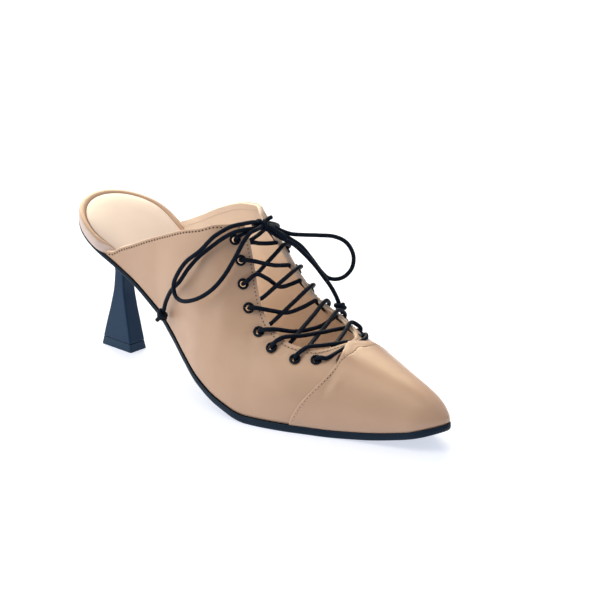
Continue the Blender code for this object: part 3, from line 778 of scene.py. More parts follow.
def cap_lift(foot, share):
    """How far the lace under the toe cap lifts its leather."""
    ahead = foot - CAP_FOOT
    crescent = CRESCENT * bell(share - CRESCENT_SHARE, CRESCENT_WIDTH) * bell(ahead, CRESCENT_LENGTH)
    ridge = LACE_RIDGE * bell(ahead - LACE_RIDGE_PLACE, LACE_RIDGE_WIDTH)
    return crescent + ridge * smooth_step(share, *LACE_RIDGE_START)


def cap_stitch(share):
    """Distance of the toe cap's seam from its rear edge, which is wider on top of the throat."""
    return CAP_STITCH + (CAP_STITCH_TOP - CAP_STITCH) * smooth_step(share, *CAP_STITCH_CHANGE)


def cap_half(feet, side):
    """One side of the toe cap, as rows from the tip's lining round the rear edge to the tip's outer face, and
    the shares along the rear edge."""
    shares = np.array([shares_by_length(foot, side, *CAP_COLUMNS)[0] for foot in feet])
    base = upper_point(feet[:, None], shares, side)
    normals = sheet_normals(base, side, CREST)
    depth = (feet - CAP_FOOT)[:, None]
    groove = CAP_GROOVE * bell(depth - cap_stitch(shares), CAP_GROOVE_WIDTH)
    pillow = PILLOW * bell(depth - PILLOW_PLACE, PILLOW_WIDTH)
    lifted = cap_lift(feet[:, None], shares)
    top = CAP_STEP + pillow - groove + lifted - crease_depth(base) - foot_tuck(base)
    under = np.where(depth < CAP_LINING_START, CAP_OVER + lifted, -WALL)
    outer, inner = (base + normals * height[..., None] for height in (top, under))
    back = unit(base[0] - base[1])
    rim = []
    for share, out in CAP_RIM[::-1]:
        height = top[0] + (under[0] - top[0]) * share
        rim.append(base[0] + normals[0] * height[:, None] + back * out)
    return np.concatenate([inner[::-1], np.stack(rim), outer]), shares[0]


def build_cap(materials):
    """The toe cap: one shell over both sides, whose rear edge lies on the quarters."""
    front = UPPER_TOE - TOE_ROUND
    seam_end = CAP_FOOT + CAP_SEAM_REACH
    tip = front + TOE_ROUND * np.sin(0.5 * np.pi * np.linspace(0.0, 1.0, TIP_ROWS))
    tip[-1] -= TIP_GAP
    rear = stretches((CAP_FOOT, seam_end, CAP_SEAM_ROWS), (seam_end, front, CAP_ROWS))
    feet = np.concatenate([rear[:-1], tip])
    (lateral, lateral_edge), (medial, medial_edge) = (cap_half(feet, side) for side in SIDES)
    lateral[:, -1] = 0.5 * (lateral[:, -1] + medial[:, -1])
    whole = np.concatenate([lateral, medial[:, -2::-1]], 1)
    rows, count = whole.shape[:2]
    inner_rows = len(feet)
    faces = [(a, a + 1, a + count + 1, a + count)
             for row in range(rows - 1) for a in range(row * count, (row + 1) * count - 1)]
    # The rear edge's faces beside the throat get painted shade.
    in_shade = np.abs(np.concatenate([lateral_edge, medial_edge[-2::-1]]) - SHADE_CENTRE) < SHADE_SHARE
    slots = np.full((rows - 1, count - 1), OUTSIDE)
    slots[:inner_rows - 1] = LINING
    slots[inner_rows - 1:inner_rows + len(CAP_RIM)] = np.where(in_shade[:-1], PAINTED_SHADE, CUT_EDGE)
    for edge in (0, count - 1):
        for row in range(inner_rows - 1):
            corners = (row, row + 1, rows - 2 - row, rows - 1 - row)
            faces.append(tuple(corner * count + edge for corner in corners))
        faces.append(tuple(row * count + edge for row in range(inner_rows - 1, rows - inner_rows + 1)))
    last = (rows - 1) * count
    faces += [(i, i + 1, last + i + 1, last + i) for i in range(count - 1)]
    shape = Shape()
    shape.add(whole, faces, slots)
    return shape.build_outward("toe_cap", materials)


# Seams

PITCH = 2.1
STITCH = 1.45
STITCH_SIDES = 8
THREAD_RINGS = 7
# The thread's height over the leather, its arch, its dip and thinning at both ends, and how flat it lies.
THREAD_BASE = 0.02
THREAD_ARCH = 0.16
THREAD_DIP = 0.20
THREAD_TAPER = 0.45
THREAD_FLAT = 0.85
# A pit, a dark disc of painted shade in a stitch hole: length and width over its size, and its rings as
# (size, height).
PIT_LONG = 1.15
PIT_NARROW = 0.8
PIT_RINGS = ((1.0, 0.02), (0.77, 0.04), (0.26, 0.02))
# Steps for the seam's direction under a thread and a pit, and samples of the seams.
THREAD_STEP = 0.05
PIT_STEP = 0.1
EDGE_SAMPLES = 900
EDGE_ROW_SAMPLES = np.linspace(0.0, 1.0, 240)
CAP_SAMPLES = 400


def edge_line(side, start, end):
    """The seam along the quarter's free edge: points and outward normals."""
    points, normals = [], []
    for foot in np.linspace(start, end, EDGE_SAMPLES):
        lengths = arc_lengths(upper_point(foot, EDGE_ROW_SAMPLES, side))
        share = np.interp(max(lengths[-1] - edge_stitch(foot), 0.0), lengths, EDGE_ROW_SAMPLES)
        points.append(upper_point(foot, share, side))
        normals.append(upper_normal(foot, share, side))
    return np.array(points), np.array(normals)


def cap_line(side):
    """The seam beside the toe cap's rear edge: points and outward normals."""
    shares = np.linspace(*CAP_SEAM, CAP_SAMPLES)
    foot = CAP_FOOT + cap_stitch(shares)
    normals = upper_normal(foot, shares, side)
    lift = CAP_STEP - CAP_SEAM_DEPTH + cap_lift(foot, shares)
    return upper_point(foot, shares, side) + normals * lift[:, None], normals


def stitch_row(stitches, holes, points, normals, pit_size, thick):
    """A row of sewn stitches, arched threads that dip into the leather at both ends, with painted shade at
    the pinholes.
    """
    lengths = arc_lengths(points)

    def frame_at(place, step):
        """Spot on the seam, with the directions up, along and across."""
        up = unit(line_at(place, lengths, normals))
        along = unit(line_at(place + step, lengths, points) - line_at(place - step, lengths, points))
        return line_at(place, lengths, points), up, along, unit(np.cross(along, up))

    for number in range(int(lengths[-1] / PITCH)):
        rings = []
        for t in np.linspace(-1.0, 1.0, THREAD_RINGS):
            spot, up, _, across = frame_at((number + 0.5) * PITCH + 0.5 * STITCH * t, THREAD_STEP)
            height = THREAD_ARCH * (1.0 - t * t) - THREAD_DIP * t**4 + THREAD_BASE
            size = thick * (1.0 - THREAD_TAPER * t**4)
            rings.append(spot + up * height + size * circle(across, THREAD_FLAT * up, STITCH_SIDES))
        stitches.add_stack(rings)
        # Painted shade: a dark disc over the stitch hole.
        spot, up, along, across = frame_at(number * PITCH, PIT_STEP)
        outline = pit_size * circle(PIT_LONG * along, PIT_NARROW * across, STITCH_SIDES)
        holes.add_stack([spot + up * height + size * outline for size, height in PIT_RINGS], open_start=True)


# Sole, insole and sock

SEAT_POINTS = 60
SIDE_POINTS = 220
TOE_POINTS = 40
# The axis points that a plan outline shrinks to: where they end, over the ends' round lengths.
AXIS_REAR = 0.93
AXIS_FRONT = 2.2
MOST_INSET = 0.98
# Edges of the outsole, from below to above, as (inset, rise); the lower one is rounder at the tip.
SOLE_LOWER_EDGE = ((1.0, 0.0), (0.45, 0.16), (0.16, 0.5), (0.04, 1.0))
SOLE_UPPER_EDGE = (
    (0.04, -0.52), (0.16, -0.40), (0.10, -0.30), (0.06, -0.10), (0.12, 0.16), (0.34, 0.28), (0.62, 0.16),
    (0.9, 0.0), (3.0, 0.0),
)
SOLE_UNDERSIDE = 1.2
SOLE_LOWER_RIM = 2.4
TIP_ROUND = 3.5
TIP_ROUND_START = 247.0
FILL_SHARES = (0.33, 0.66, 1.0)
# Section of the insole's rim from below to its inner edge: inset, share of the insole's height and rise.
INSOLE_LOW = 0.12
INSOLE_RIM = (
    (0.9, 0.0, 0.0), (0.30, 0.08, 0.0), (0.02, 0.24, 0.0), (-0.10, 0.45, 0.0), (-0.06, 0.62, 0.0),
    (0.04, 0.80, 0.0), (0.22, 0.925, 0.0), (0.58, 0.99, 0.0), (1.15, 1.0, 0.18), (1.9, 1.0, 0.30),
    (2.6, 1.0, 0.24), (3.2, 1.0, 0.08), (3.60, 1.0, -0.18), (3.84, 1.0, -0.50), (RIM_WIDTH, 1.0, -1.05),
)
# Fill of the insole's underside and of the floor under the sock: inset and share of the way to the axis.
INSOLE_UNDERSIDE = ((6.4, 1.0), (6.4, 0.5), (6.4, 0.0))
INSOLE_FLOOR = ((4.6, 0.0), (5.0, 0.5), (5.0, 1.0))
INSOLE_FLOOR_RISE = -1.15
# The sock: rows as (inset, share of the way to the axis, rise over the insole), first those of its underside
# and edge, then those of its crown, which is lower between the quarters.
SOCK_EDGE = (
    (5.0, 1.0, -1.05), (5.0, 0.5, -1.05), (5.2, 0.0, -1.05), (4.45, 0.0, -1.05), (4.30, 0.0, -0.75),
    (4.26, 0.0, -0.40), (4.36, 0.0, -0.10), (4.62, 0.0, 0.14),
)
SOCK_CROWN = (
    (5.05, 0.0, 0.34), (5.7, 0.0, 0.52), (6.6, 0.0, 0.70), (8.0, 0.0, 0.86), (8.0, 0.12, 0.96),
    (8.0, 0.26, 0.92), (8.0, 0.42, 0.78), (8.0, 0.60, 0.62), (8.0, 0.80, 0.52), (8.0, 1.0, 0.50),
)
CROWN_FRONT = 0.55
CROWN_FADE = (50.0, 90.0)
SOCK_NARROWER = 1.7
SOCK_NARROWS = (18.0, 70.0)


def plan_loop(rear, front, inset):
    """Closed plan outline: points on both sides, and the axis point that each one shrinks to."""
    quarter_turn = 0.5 * np.pi
    seat = rear + SEAT_ROUND * (1.0 - np.cos(np.linspace(0.0, quarter_turn, SEAT_POINTS)))
    side_line = np.linspace(rear + SEAT_ROUND, front - TOE_ROUND, SIDE_POINTS)
    toe = front - TOE_ROUND * (1.0 - np.sin(np.linspace(0.0, quarter_turn, TOE_POINTS)))
    xs = np.concatenate([seat[:-1], side_line[:-1], toe])
    lateral, medial = (
        np.stack([xs, axis_at(xs) + side * reach(xs, side, inset, rear, front), np.zeros_like(xs)], -1)
        for side in SIDES
    )
    loop = np.concatenate([lateral, medial[-2:0:-1]])
    axis_x = np.clip(loop[:, 0], rear + AXIS_REAR * SEAT_ROUND, front - AXIS_FRONT * TOE_ROUND)
    return loop, np.stack([axis_x, axis_at(axis_x), np.zeros_like(axis_x)], -1)


def inner_ring(loop, axis, inset, share):
    """The outline moved in by inset, then share of the way to the axis."""
    way = axis - loop
    far = np.linalg.norm(way, axis=1, keepdims=True)
    start = loop + way / far * np.minimum(np.reshape(inset, (-1, 1)), MOST_INSET * far)
    return start + (axis - start) * share


def plate(name, loop, axis, profile, materials, side_rows=None):
    """Closed plate: profile rows are (inset, share towards the axis, height function). Where side_rows is
    given, the second material starts after so many rows."""
    rings = []
    for inset, share, height in profile:
        ring = inner_ring(loop, axis, inset, share)
        ring[:, 2] = height(ring[:, 0])
        rings.append(ring)
    shape = Shape()
    slots = [int(side_rows is not None and row >= side_rows) for row in range(len(rings) - 1)]
    shape.add(np.concatenate(rings), ring_faces(len(rings), len(loop)), np.repeat(slots, len(loop)))
    return shape.build_outward(name, materials)


def raised(base, amount):
    return lambda x: base(x) + amount


def sock_edge(x):
    """How much further in the sock's edge lies between the quarters than round the seat."""
    return SOCK_NARROWER * smooth_step(x, *SOCK_NARROWS)


def tucked(loop, inset):
    """Inset on the rim, whose outer edge turns in beside the quarters while its inner edge runs on."""
    x = loop[:, 0]
    later = MEDIAL_TUCK_LATER * (loop[:, 1] > 0.0)
    turn_in = (TUCKED_EDGE + RIM_OVERHANG) * smooth_step(x - later, *TUCK)
    return turn_in + inset * (RIM_WIDTH + sock_edge(x) - turn_in) / RIM_WIDTH


def build_outsole(materials):
    loop, axis = plan_loop(0.0, LENGTH, 0.0)
    tip = 1.0 + TIP_ROUND * smooth_step(loop[:, 0], TIP_ROUND_START, LENGTH)
    profile = [(SOLE_UNDERSIDE, share, sole_bottom) for share in FILL_SHARES[::-1]]
    profile.append((SOLE_LOWER_RIM + tip, 0.0, sole_bottom))
    profile += [(inset * tip, 0.0, raised(sole_bottom, rise)) for inset, rise in SOLE_LOWER_EDGE]
    profile.append((0.0, 0.0, lambda x: 0.5 * (sole_bottom(x) + sole_top(x))))
    profile += [(inset, 0.0, raised(sole_top, rise)) for inset, rise in SOLE_UPPER_EDGE]
    profile += [(SOLE_UPPER_EDGE[-1][0], share, sole_top) for share in FILL_SHARES]
    return plate("outsole_body", loop, axis, profile, materials)


def build_insole(materials):
    loop, axis = plan_loop(RIM_EDGE, LENGTH - INSOLE_TOE, -RIM_OVERHANG)
    low = raised(sole_top, INSOLE_LOW)

    def climbed(share, rise):
        return lambda x: low(x) + share * (insole_top(x) - low(x)) + rise

    floor = raised(insole_top, INSOLE_FLOOR_RISE)
    narrow = sock_edge(loop[:, 0])
    profile = [(inset, share, low) for inset, share in INSOLE_UNDERSIDE]
    profile += [(tucked(loop, inset), 0.0, climbed(share, rise)) for inset, share, rise in INSOLE_RIM]
    profile += [(inset + narrow, share, floor) for inset, share in INSOLE_FLOOR]
    # Its underside and rim side take the paler first material, a painted sheen; its top and floor are tan
    # leather.
    return plate("insole_rim", loop, axis, profile, materials, RIM_SIDE_ROWS)


def build_sock(materials):
    loop, axis = plan_loop(RIM_EDGE, LENGTH - INSOLE_TOE, -RIM_OVERHANG)
    narrow = sock_edge(loop[:, 0])

    def crown(rise):
        return lambda x: insole_top(x) + rise * (1.0 - (1.0 - CROWN_FRONT) * smooth_step(x, *CROWN_FADE))

    profile = [(inset + narrow, share, raised(insole_top, rise)) for inset, share, rise in SOCK_EDGE]
    profile += [(inset + narrow, share, crown(rise)) for inset, share, rise in SOCK_CROWN]
    return plate("sock_pad", loop, axis, profile, materials)


# Heel

CORNERS = ((1, 1), (-1, 1), (-1, -1), (1, -1))
CORNER_STEPS = 8
STRAIGHT_STEPS = 10
# The block's rings: closer together above its waist than below it, ending just under the sole.
HEEL_WAIST = 40.0
HEEL_ROWS = 36
WAIST_ROWS = 40
HEEL_SEAT_GAP = 0.05
# The block's lower edge is softened by two rings as (narrower, rise).
HEEL_SOFT = ((0.5, 0.0), (0.06, 0.22))
# The top piece's rings as (share of the flare, narrower, height).
TREAD_RINGS = (
    (0.6, 0.0, 0.0), (1.0, 0.0, 0.06), (1.0, 0.0, 0.35), (0.0, 0.0, 4.36), (0.0, 0.05, 4.56),
    (0.0, 0.3, TOP_PIECE_HEIGHT),
)
END_FILL = (0.02, 0.6)


def heel_ring(depth, width, corner, middle, height_at):
    """Ring round a section of the heel, a rectangle with round corners."""
    arcs = []
    for turn, (sign_x, sign_y) in enumerate(CORNERS):
        centre = (HEEL_X + sign_x * (0.5 * depth - corner), middle + sign_y * (0.5 * width - corner))
        angles = 0.5 * np.pi * (turn + np.arange(CORNER_STEPS + 1) / CORNER_STEPS)
        arcs.append(centre + corner * np.stack([np.cos(angles), np.sin(angles)], -1))
    between = np.arange(1, STRAIGHT_STEPS)[:, None] / STRAIGHT_STEPS
    parts = []
    for arc, following in zip(arcs, arcs[1:] + arcs[:1]):
        parts += [arc, arc[-1] + (following[0] - arc[-1]) * between]
    points = np.concatenate(parts)
    return np.column_stack([points, height_at(points[:, 0])])


def level(height):
    return lambda x: np.full_like(x, height)


def add_filled(shape, rings):
    """Closed stack of rings whose two ends are filled towards their middle."""

    def shrunk(ring, share):
        middle = ring.mean(0)
        return middle + (ring - middle) * share

    start = [shrunk(rings[0], share) for share in END_FILL]
    end = [shrunk(rings[-1], share) for share in END_FILL[::-1]]
    shape.add_stack(start + rings + end)


def heel_sizes(height):
    return [float(HEEL.at(name, height)) for name in ("depth", "width", "corner", "middle")]


def build_heel(heel_materials, tread_materials):
    seat = float(sole_bottom(HEEL_X))
    base = TOP_PIECE_HEIGHT + GAP
    top = HEEL.places[-1]
    stretch = (seat - HEEL_SEAT_GAP - base) / (top - base)
    depth, width, corner, middle = heel_sizes(base)
    rings = []
    for narrower, rise in HEEL_SOFT:
        rings.append(heel_ring(depth - narrower, width - narrower, corner, middle, level(base + rise)))
    heights = stretches((HEEL.places[0], HEEL_WAIST, HEEL_ROWS), (HEEL_WAIST, top, WAIST_ROWS))
    for height in heights[1:]:
        slope = float(HEEL.at("slope", height))
        rise = base + (height - base) * stretch
        rings.append(heel_ring(*heel_sizes(height), lambda x: rise + slope * (sole_bottom(x) - seat)))
    block = Shape()
    add_filled(block, rings)
    rings = []
    for share, narrower, height in TREAD_RINGS:
        flare = TOP_PIECE_FLARE * share - narrower
        rings.append(heel_ring(depth + flare, width + 0.5 * flare, corner, middle, level(height)))
    foot = Shape()
    add_filled(foot, rings)
    heel = block.build_outward("heel_block", heel_materials)
    return heel, foot.build_outward("heel_tread", tread_materials)


# Eyelets

# Section of an eyelet as (radius, height over the leather): the bore, the bead outside, the inner flange.
EYELET_PROFILE = (
    (1.68, -2.20), (1.64, -1.0), (1.64, 0.06), (1.74, 0.44), (1.98, 0.70), (2.28, 0.80), (2.60, 0.72),
    (2.90, 0.46), (3.02, 0.12), (2.98, -0.08), (2.50, -0.10), (2.14, -0.16), (2.10, -2.02), (2.26, -2.06),
    (2.34, -2.14), (2.30, -2.26), (2.16, -2.30), (1.84, -2.29),
)
BEAD_ROWS = range(2, 11)
EYELET_SIDES = 36
EYELET_HOLE = 2.2
HOLE_SPAN = (-4.0, 2.5)
HOLE_SIDES = 28


def eyelet_rings(number, side, profile, sides):
    """Rings round an eyelet's middle, for each radius and height of the profile."""
    centre, normal, toward = eyelet_frame(number, side)
    ring = circle(toward, np.cross(normal, toward), sides)
    return [centre + normal * height + radius * ring for radius, height in profile]


def build_eyelets(side, materials):
    shape = Shape()
    slots = np.repeat([int(row not in BEAD_ROWS) for row in range(len(EYELET_PROFILE))], EYELET_SIDES)
    faces = ring_faces(len(EYELET_PROFILE), EYELET_SIDES, closed_rows=True)
    for number in range(len(EYELETS)):
        rings = eyelet_rings(number, side, EYELET_PROFILE, EYELET_SIDES)
        shape.add(np.concatenate(rings), faces, slots)
    return shape.build_outward("eyelet_rings_" + side_name(side), materials)


def cut_eyelet_holes(quarter, side):
    """Cuts a round hole through the quarter's wall under each eyelet."""
    shape = Shape()
    profile = [(EYELET_HOLE, height) for height in HOLE_SPAN]
    for number in range(len(EYELETS)):
        shape.add_stack(eyelet_rings(number, side, profile, HOLE_SIDES))
    cutter = shape.build_outward("eyelet_cutter", [])
    cut = quarter.modifiers.new("eyelet holes", "BOOLEAN")
    cut.operation = "DIFFERENCE"
    cut.solver = "EXACT"
    cut.object = cutter
    bpy.context.view_layer.update()
    graph = bpy.context.evaluated_depsgraph_get()
    mesh = bpy.data.meshes.new_from_object(quarter.evaluated_get(graph))
    quarter.modifiers.remove(cut)
    quarter.data = mesh
    bpy.data.objects.remove(cutter, do_unlink=True)
    mesh.polygons.foreach_set("use_smooth", np.ones(len(mesh.polygons), bool))


# Lace

OVER_LIFT = 1.45
UNDER_DROP = 3.15
MEDIAL_PRESS = 0.9
# Points of a strand beside its eyelet, as (height over the leather, distance along it): out of a hole towards
# the facing's edge, and out of a lowest hole towards the toe cap.
OUT_LEG = ((-0.9, 0.45), (0.45, 0.6), (1.55, 1.3), (1.95, 2.7))
BOTTOM_LEG = ((-0.9, 0.0), (0.5, 0.15), (1.6, 1.0), (1.95, 2.5), (1.1, 5.0))
# Points of a strand behind its eyelet, as (depth, share of the press that eases it, distance along the
# lining), the one halfway to the edge, and the last one as (way into the throat, share of the press, rise).
IN_LEG = ((1.6, 0.0, 0.35), (2.9, 1.0, 0.7), (3.4, 1.6, 1.9))
IN_LEG_HALFWAY = (3.3, 1.6, 0.5)
IN_LEG_END = (2.0, 1.5, 0.2)
BOTTOM_WAY = (6.5, 5.0, 0.6)
# The lowest bar under the toe cap: its station, and its points from the ridge there.
BOTTOM_BAR_X = 189.9
BOTTOM_BAR = (0.2, 0.0, -0.5)
BOTTOM_BAR_END = (0.0, 5.5, -0.8)
# Strands from top to bottom, by the eyelet that they leave: the stations where they cross their own edge and
# go under the other one, then points between them as (share of the way, rise, distance towards the camera).
STRANDS = {
    (LATERAL, 1): (134.4, 137.8, ((0.3, -0.7, 0.6), (0.6, -1.0, 0.8))),
    (MEDIAL, 1): (133.0, 137.0, ((0.35, 0.0, -0.8), (0.65, 0.0, -1.2))),
    (LATERAL, 2): (137.4, 142.6, ((0.25, -1.6, 0.6), (0.55, -5.0, -1.4), (0.85, -2.0, -1.0))),
    (MEDIAL, 2): (139.4, 143.4, ((0.35, 0.0, 1.4), (0.65, 0.0, 0.6))),
    (LATERAL, 3): (147.2, 150.6, ((0.2, -2.1, 1.0), (0.46, -4.2, 1.2), (0.75, -2.6, 1.0))),
    (MEDIAL, 3): (145.6, 152.6, ((0.35, 0.0, -0.6), (0.65, 0.0, -1.6))),
    (LATERAL, 4): (157.4, 162.6, ((0.34, -3.7, 1.0), (0.6, -4.2, 1.2), (0.78, -3.4, 1.0))),
    (MEDIAL, 4): (153.6, 166.4, ((0.35, 0.0, -0.6), (0.65, 0.0, -1.6))),
    (LATERAL, 5): (163.8, 172.0, ((0.3, -0.6, 1.2), (0.6, -0.4, 1.2))),
    (MEDIAL, 5): (161.4, 175.2, ((0.35, 0.0, -0.8), (0.65, 0.0, -1.4))),
    (LATERAL, 6): (177.2, 186.2, ((0.3, 0.0, 0.6), (0.6, 0.0, 0.8))),
    (MEDIAL, 6): (171.6, 185.0, ((0.35, 0.0, -0.8), (0.65, 0.0, -0.8))),
}
# The bars under both edges from the top eyelets, by the side that they leave: their two stations, then the
# points between them, as above for the medial side.
TOP_BARS = {LATERAL: (129.0, 127.2), MEDIAL: (131.8, 129.8)}
TOP_BAR_POINTS = ((0.3, -0.4, -0.8), (0.7, -0.4, -0.8))
# Where the strands from the top eyelets head for, and their places in the knot on the medial side.
TOP_LEG_X = 126.6
INTO_KNOT = ((0.4, 3.4, 0.2), (0.0, 0.8, 0.0))
LACE_SPACING = 0.7
BOW_SPACING = 1.1
KNOT_SPACING = 0.5
BEVEL_RESOLUTION = 6


def mirrored(place, side):
    """A place of the medial side, on the given side."""
    return np.array(place) * (1.0, side, 1.0)


def out_leg(number, side, over_x):
    """From inside an eyelet's hole, out over its flange, to the facing's edge."""
    centre, normal, _ = eyelet_frame(number, side)
    edge, edge_normal, _ = facing_frame(over_x, side)
    over = edge + edge_normal * OVER_LIFT
    toward = along_face(centre, normal, over)
    return [centre + normal * height + toward * far for height, far in OUT_LEG] + [over]


def in_leg(number, side, under_x):
    """From an eyelet's hole, along the lining, to under the facing's edge; pressed in on the medial side."""
    centre, normal, _ = eyelet_frame(number, side)
    edge, edge_normal, inward = facing_frame(under_x, side)
    press = MEDIAL_PRESS if side == MEDIAL else 0.0
    under = edge - edge_normal * (UNDER_DROP - press)
    toward = along_face(centre, normal, under)
    leg = [centre - normal * (deep - eased * press) + toward * far for deep, eased, far in IN_LEG]
    deep, eased, far = IN_LEG_HALFWAY
    leg.append(0.5 * (centre - normal * (deep - eased * press) + under) + toward * far)
    into, eased, rise = IN_LEG_END
    return leg + [under, under + inward * (into - eased * press) + edge_normal * rise]


def crossing(leg, end_leg, between):
    """A strand over its own edge, across the throat and under the other edge."""
    start, end = leg[-1], end_leg[-1]
    middle = [start + (end - start) * t + UP * rise + TO_CAMERA * near for t, rise, near in between]
    return leg + middle + end_leg[::-1]


def half_lace(side):
    """From the knot down to inside the lowest eyelet that this half reaches, and that eyelet's side."""
    route = [np.array(KNOT) + mirrored(place, side) for place in INTO_KNOT[::-1]]
    route += out_leg(0, side, TOP_LEG_X)[-2::-1]
    x, other_x = TOP_BARS[side]
    points = [(share, rise, side * near) for share, rise, near in TOP_BAR_POINTS]
    route += crossing(in_leg(0, side, x), in_leg(1, -side, other_x), points)
    here = -side
    for number in range(1, len(EYELETS) - 1):
        over_x, under_x, between = STRANDS[here, number]
        route += crossing(out_leg(number, here, over_x), in_leg(number + 1, -here, under_x), between)
        here = -here
    centre, normal, _ = eyelet_frame(len(EYELETS) - 1, here)
    ahead = unit(mirrored(BOTTOM_WAY, -here))
    route += [centre + normal * height + ahead * far for height, far in BOTTOM_LEG]
    return route + [last_point(BOTTOM_BAR_X, 1.0, LATERAL) + mirrored(BOTTOM_BAR_END, here)]


def thinned(route, least=0.5):
    """The route without points that lie closer than least to the one before."""
    kept = [route[0]]
    for point in route[1:]:
        if np.linalg.norm(point - kept[-1]) > least:
            kept.append(point)
    return kept


def build_lacing(materials):
    """The whole lace below the bow, from the knot round through all eyelets and back to the knot."""
    bar = [last_point(BOTTOM_BAR_X, 1.0, LATERAL) + BOTTOM_BAR]
    route = half_lace(LATERAL) + bar + half_lace(MEDIAL)[::-1]
    shape = Shape()
    tube(shape, smooth_route(thinned(route), LACE_SPACING), 0.5 * LACE)
    return shape.build("lacing", materials)


def add_cord(name, route, material):
    """A strand of the bow as a curve, with its points in metres and its length."""
    curve = bpy.data.curves.new(name, "CURVE")
    curve.dimensions = "3D"
    curve.bevel_depth = 0.5 * LACE * MM
    curve.bevel_resolution = BEVEL_RESOLUTION
    curve.use_fill_caps = True
    points = placed(smooth_route(route, BOW_SPACING))
    spline = curve.splines.new("POLY")
    spline.points.add(len(points) - 1)
    for spot, point in zip(spline.points, points):
        spot.co = (*point, 1.0)
    spline.use_smooth = True
    curve.materials.append(material)
    return put(name, curve), points, float(arc_lengths(points)[-1])


def in_picture(right, up, near):
    """Vectors measured in the camera's picture, to the right, up and towards the camera."""
    right_way = unit(np.cross(UP, TO_CAMERA))
    ways = (right_way, np.cross(TO_CAMERA, right_way), TO_CAMERA)
    return sum(np.multiply.outer(amount, way) for amount, way in zip((right, up, near), ways))


# The knot's wrapped band: place along the bow, size and slant of each turn, and the turns' angles.
BANDS = ((1.5, 2.35, 0.35), (-0.9, 2.0, 0.5))
BAND_TURN = np.linspace(-0.3, 2.0 * math.pi * 1.1, 60)
BAND_FLAT = 0.9
BAND_RISE = 0.1
# Its strands, as radius over the lace's thickness and points seen in the picture: a bight over the band, the
# core inside it, the bundle to the right and a short stub.
KNOT_STRANDS = (
    (0.5, ((-4.4, -1.0, 1.0), (-3.6, 1.0, 1.7), (-2.2, 2.1, 1.7), (-0.8, 1.2, 2.1), (0.0, -0.8, 2.2))),
    (0.66, ((-5.0, 0.2, 0.0), (-1.6, 0.2, 0.0), (2.0, -0.2, 0.0), (5.4, -1.6, 0.0))),
    (0.5, ((1.8, -0.4, 1.0), (4.6, -1.7, 1.3), (7.6, -3.6, 1.2), (10.4, -5.8, 0.6), (12.2, -7.6, 0.0))),
    (0.5, ((1.4, 1.2, 0.4), (2.4, 2.8, 0.6), (3.6, 3.6, 0.6), (4.6, 4.1, 0.5))),
)
# The small knot near a lace's end: the coil's turns, points, length, radius, swell and half waves, its cord's
# radius over the lace's thickness, and a way across it.
TIP_TURNS = 1.9
TIP_POINTS = 70
TIP_LENGTH = 3.6
TIP_RADIUS = 1.75
TIP_SWELL = 0.3
TIP_WAVES = 3.0
TIP_THICK = 0.54
TIP_ACROSS = (0.2, -0.9, 0.4)


def build_knot(materials):
    """The bow's knot: strands held by a wrapped band."""
    shape = Shape()
    for place, size, slant in BANDS:
        wave = np.sin(BAND_TURN)
        band = in_picture(place - slant * wave, BAND_RISE + size * wave, BAND_FLAT * size * np.cos(BAND_TURN))
        tube(shape, resample(np.array(KNOT) + band, KNOT_SPACING), 0.5 * LACE)
    for thick, points in KNOT_STRANDS:
        strand = np.array(KNOT) + in_picture(*np.transpose(points))
        tube(shape, smooth_route(strand, KNOT_SPACING), thick * LACE)
    return shape.build("lace_knot", materials)


def build_tip_knot(name, centre, along, materials):
    """A small overhand knot round a cord, just short of its cut end."""
    along = unit(along)
    across = unit(np.cross(along, TIP_ACROSS))
    up = np.cross(across, along)
    coil = []
    for t in np.linspace(0.0, 1.0, TIP_POINTS):
        spin = 2.0 * math.pi * TIP_TURNS * t
        radius = TIP_RADIUS + TIP_SWELL * math.sin(TIP_WAVES * math.pi * t)
        ring = radius * (math.cos(spin) * across + math.sin(spin) * up)
        coil.append(centre + along * (TIP_LENGTH * (t - 0.5)) + ring)
    shape = Shape()
    tube(shape, resample(coil, KNOT_SPACING), TIP_THICK * LACE)
    return shape.build(name, materials)


# Materials


class Nodes:
    """Short hand for a material's node tree."""

    def __init__(self, name):
        self.material = bpy.data.materials.new(name)
        self.material.use_nodes = True
        self.tree = self.material.node_tree
        self.shader = self.tree.nodes["Principled BSDF"]
        self.place = self.tree.nodes.new("ShaderNodeTexCoord").outputs["Object"]
        self.last_bump = None

    def add(self, kind, links, **values):
        """A node with these inputs: links are (name, output) pairs, values are constants."""
        node = self.tree.nodes.new(kind)
        for name, output in links:
            self.tree.links.new(output, node.inputs[name])
        for name, value in values.items():
            node.inputs[name.replace("_", " ")].default_value = value
        return node

    def noise(self, scale, detail, rough=0.5):
        place = [("Vector", self.place)]
        node = self.add("ShaderNodeTexNoise", place, Scale=scale, Detail=detail, Roughness=rough)
        return node.outputs["Fac"]

    def cells(self, scale):
        return self.add("ShaderNodeTexVoronoi", [("Vector", self.place)], Scale=scale).outputs["Distance"]

    def colour(self, value, stops):
        """The base colour, between stops as (value, colour)."""
        node = self.add("ShaderNodeValToRGB", [("Fac", value)])
        elements = node.color_ramp.elements
        while len(elements) < len(stops):
            elements.new(0.5)
        for element, (place, colour) in zip(elements, stops):
            element.position = place
            element.color = (*colour, 1.0)
        self.tree.links.new(node.outputs["Color"], self.shader.inputs["Base Color"])

    def rough(self, value, low, high):
        """The roughness, between low and high."""
        node = self.add("ShaderNodeMapRange", [("Value", value)], To_Min=low, To_Max=high)
        self.tree.links.new(node.outputs["Result"], self.shader.inputs["Roughness"])

    def bump(self, height, strength, distance):
        """One more layer of bumps over those before."""
        links = [("Height", height)]
        if self.last_bump:
            links.append(("Normal", self.last_bump))
        node = self.add("ShaderNodeBump", links, Strength=strength, Distance=distance)
        self.last_bump = node.outputs["Normal"]
        self.tree.links.new(self.last_bump, self.shader.inputs["Normal"])

    def set(self, **values):
        for name, value in values.items():
            self.shader.inputs[name.replace("_", " ")].default_value = value


def shaded(colour, amount):
    return tuple(max(0.0, c * amount) for c in colour)


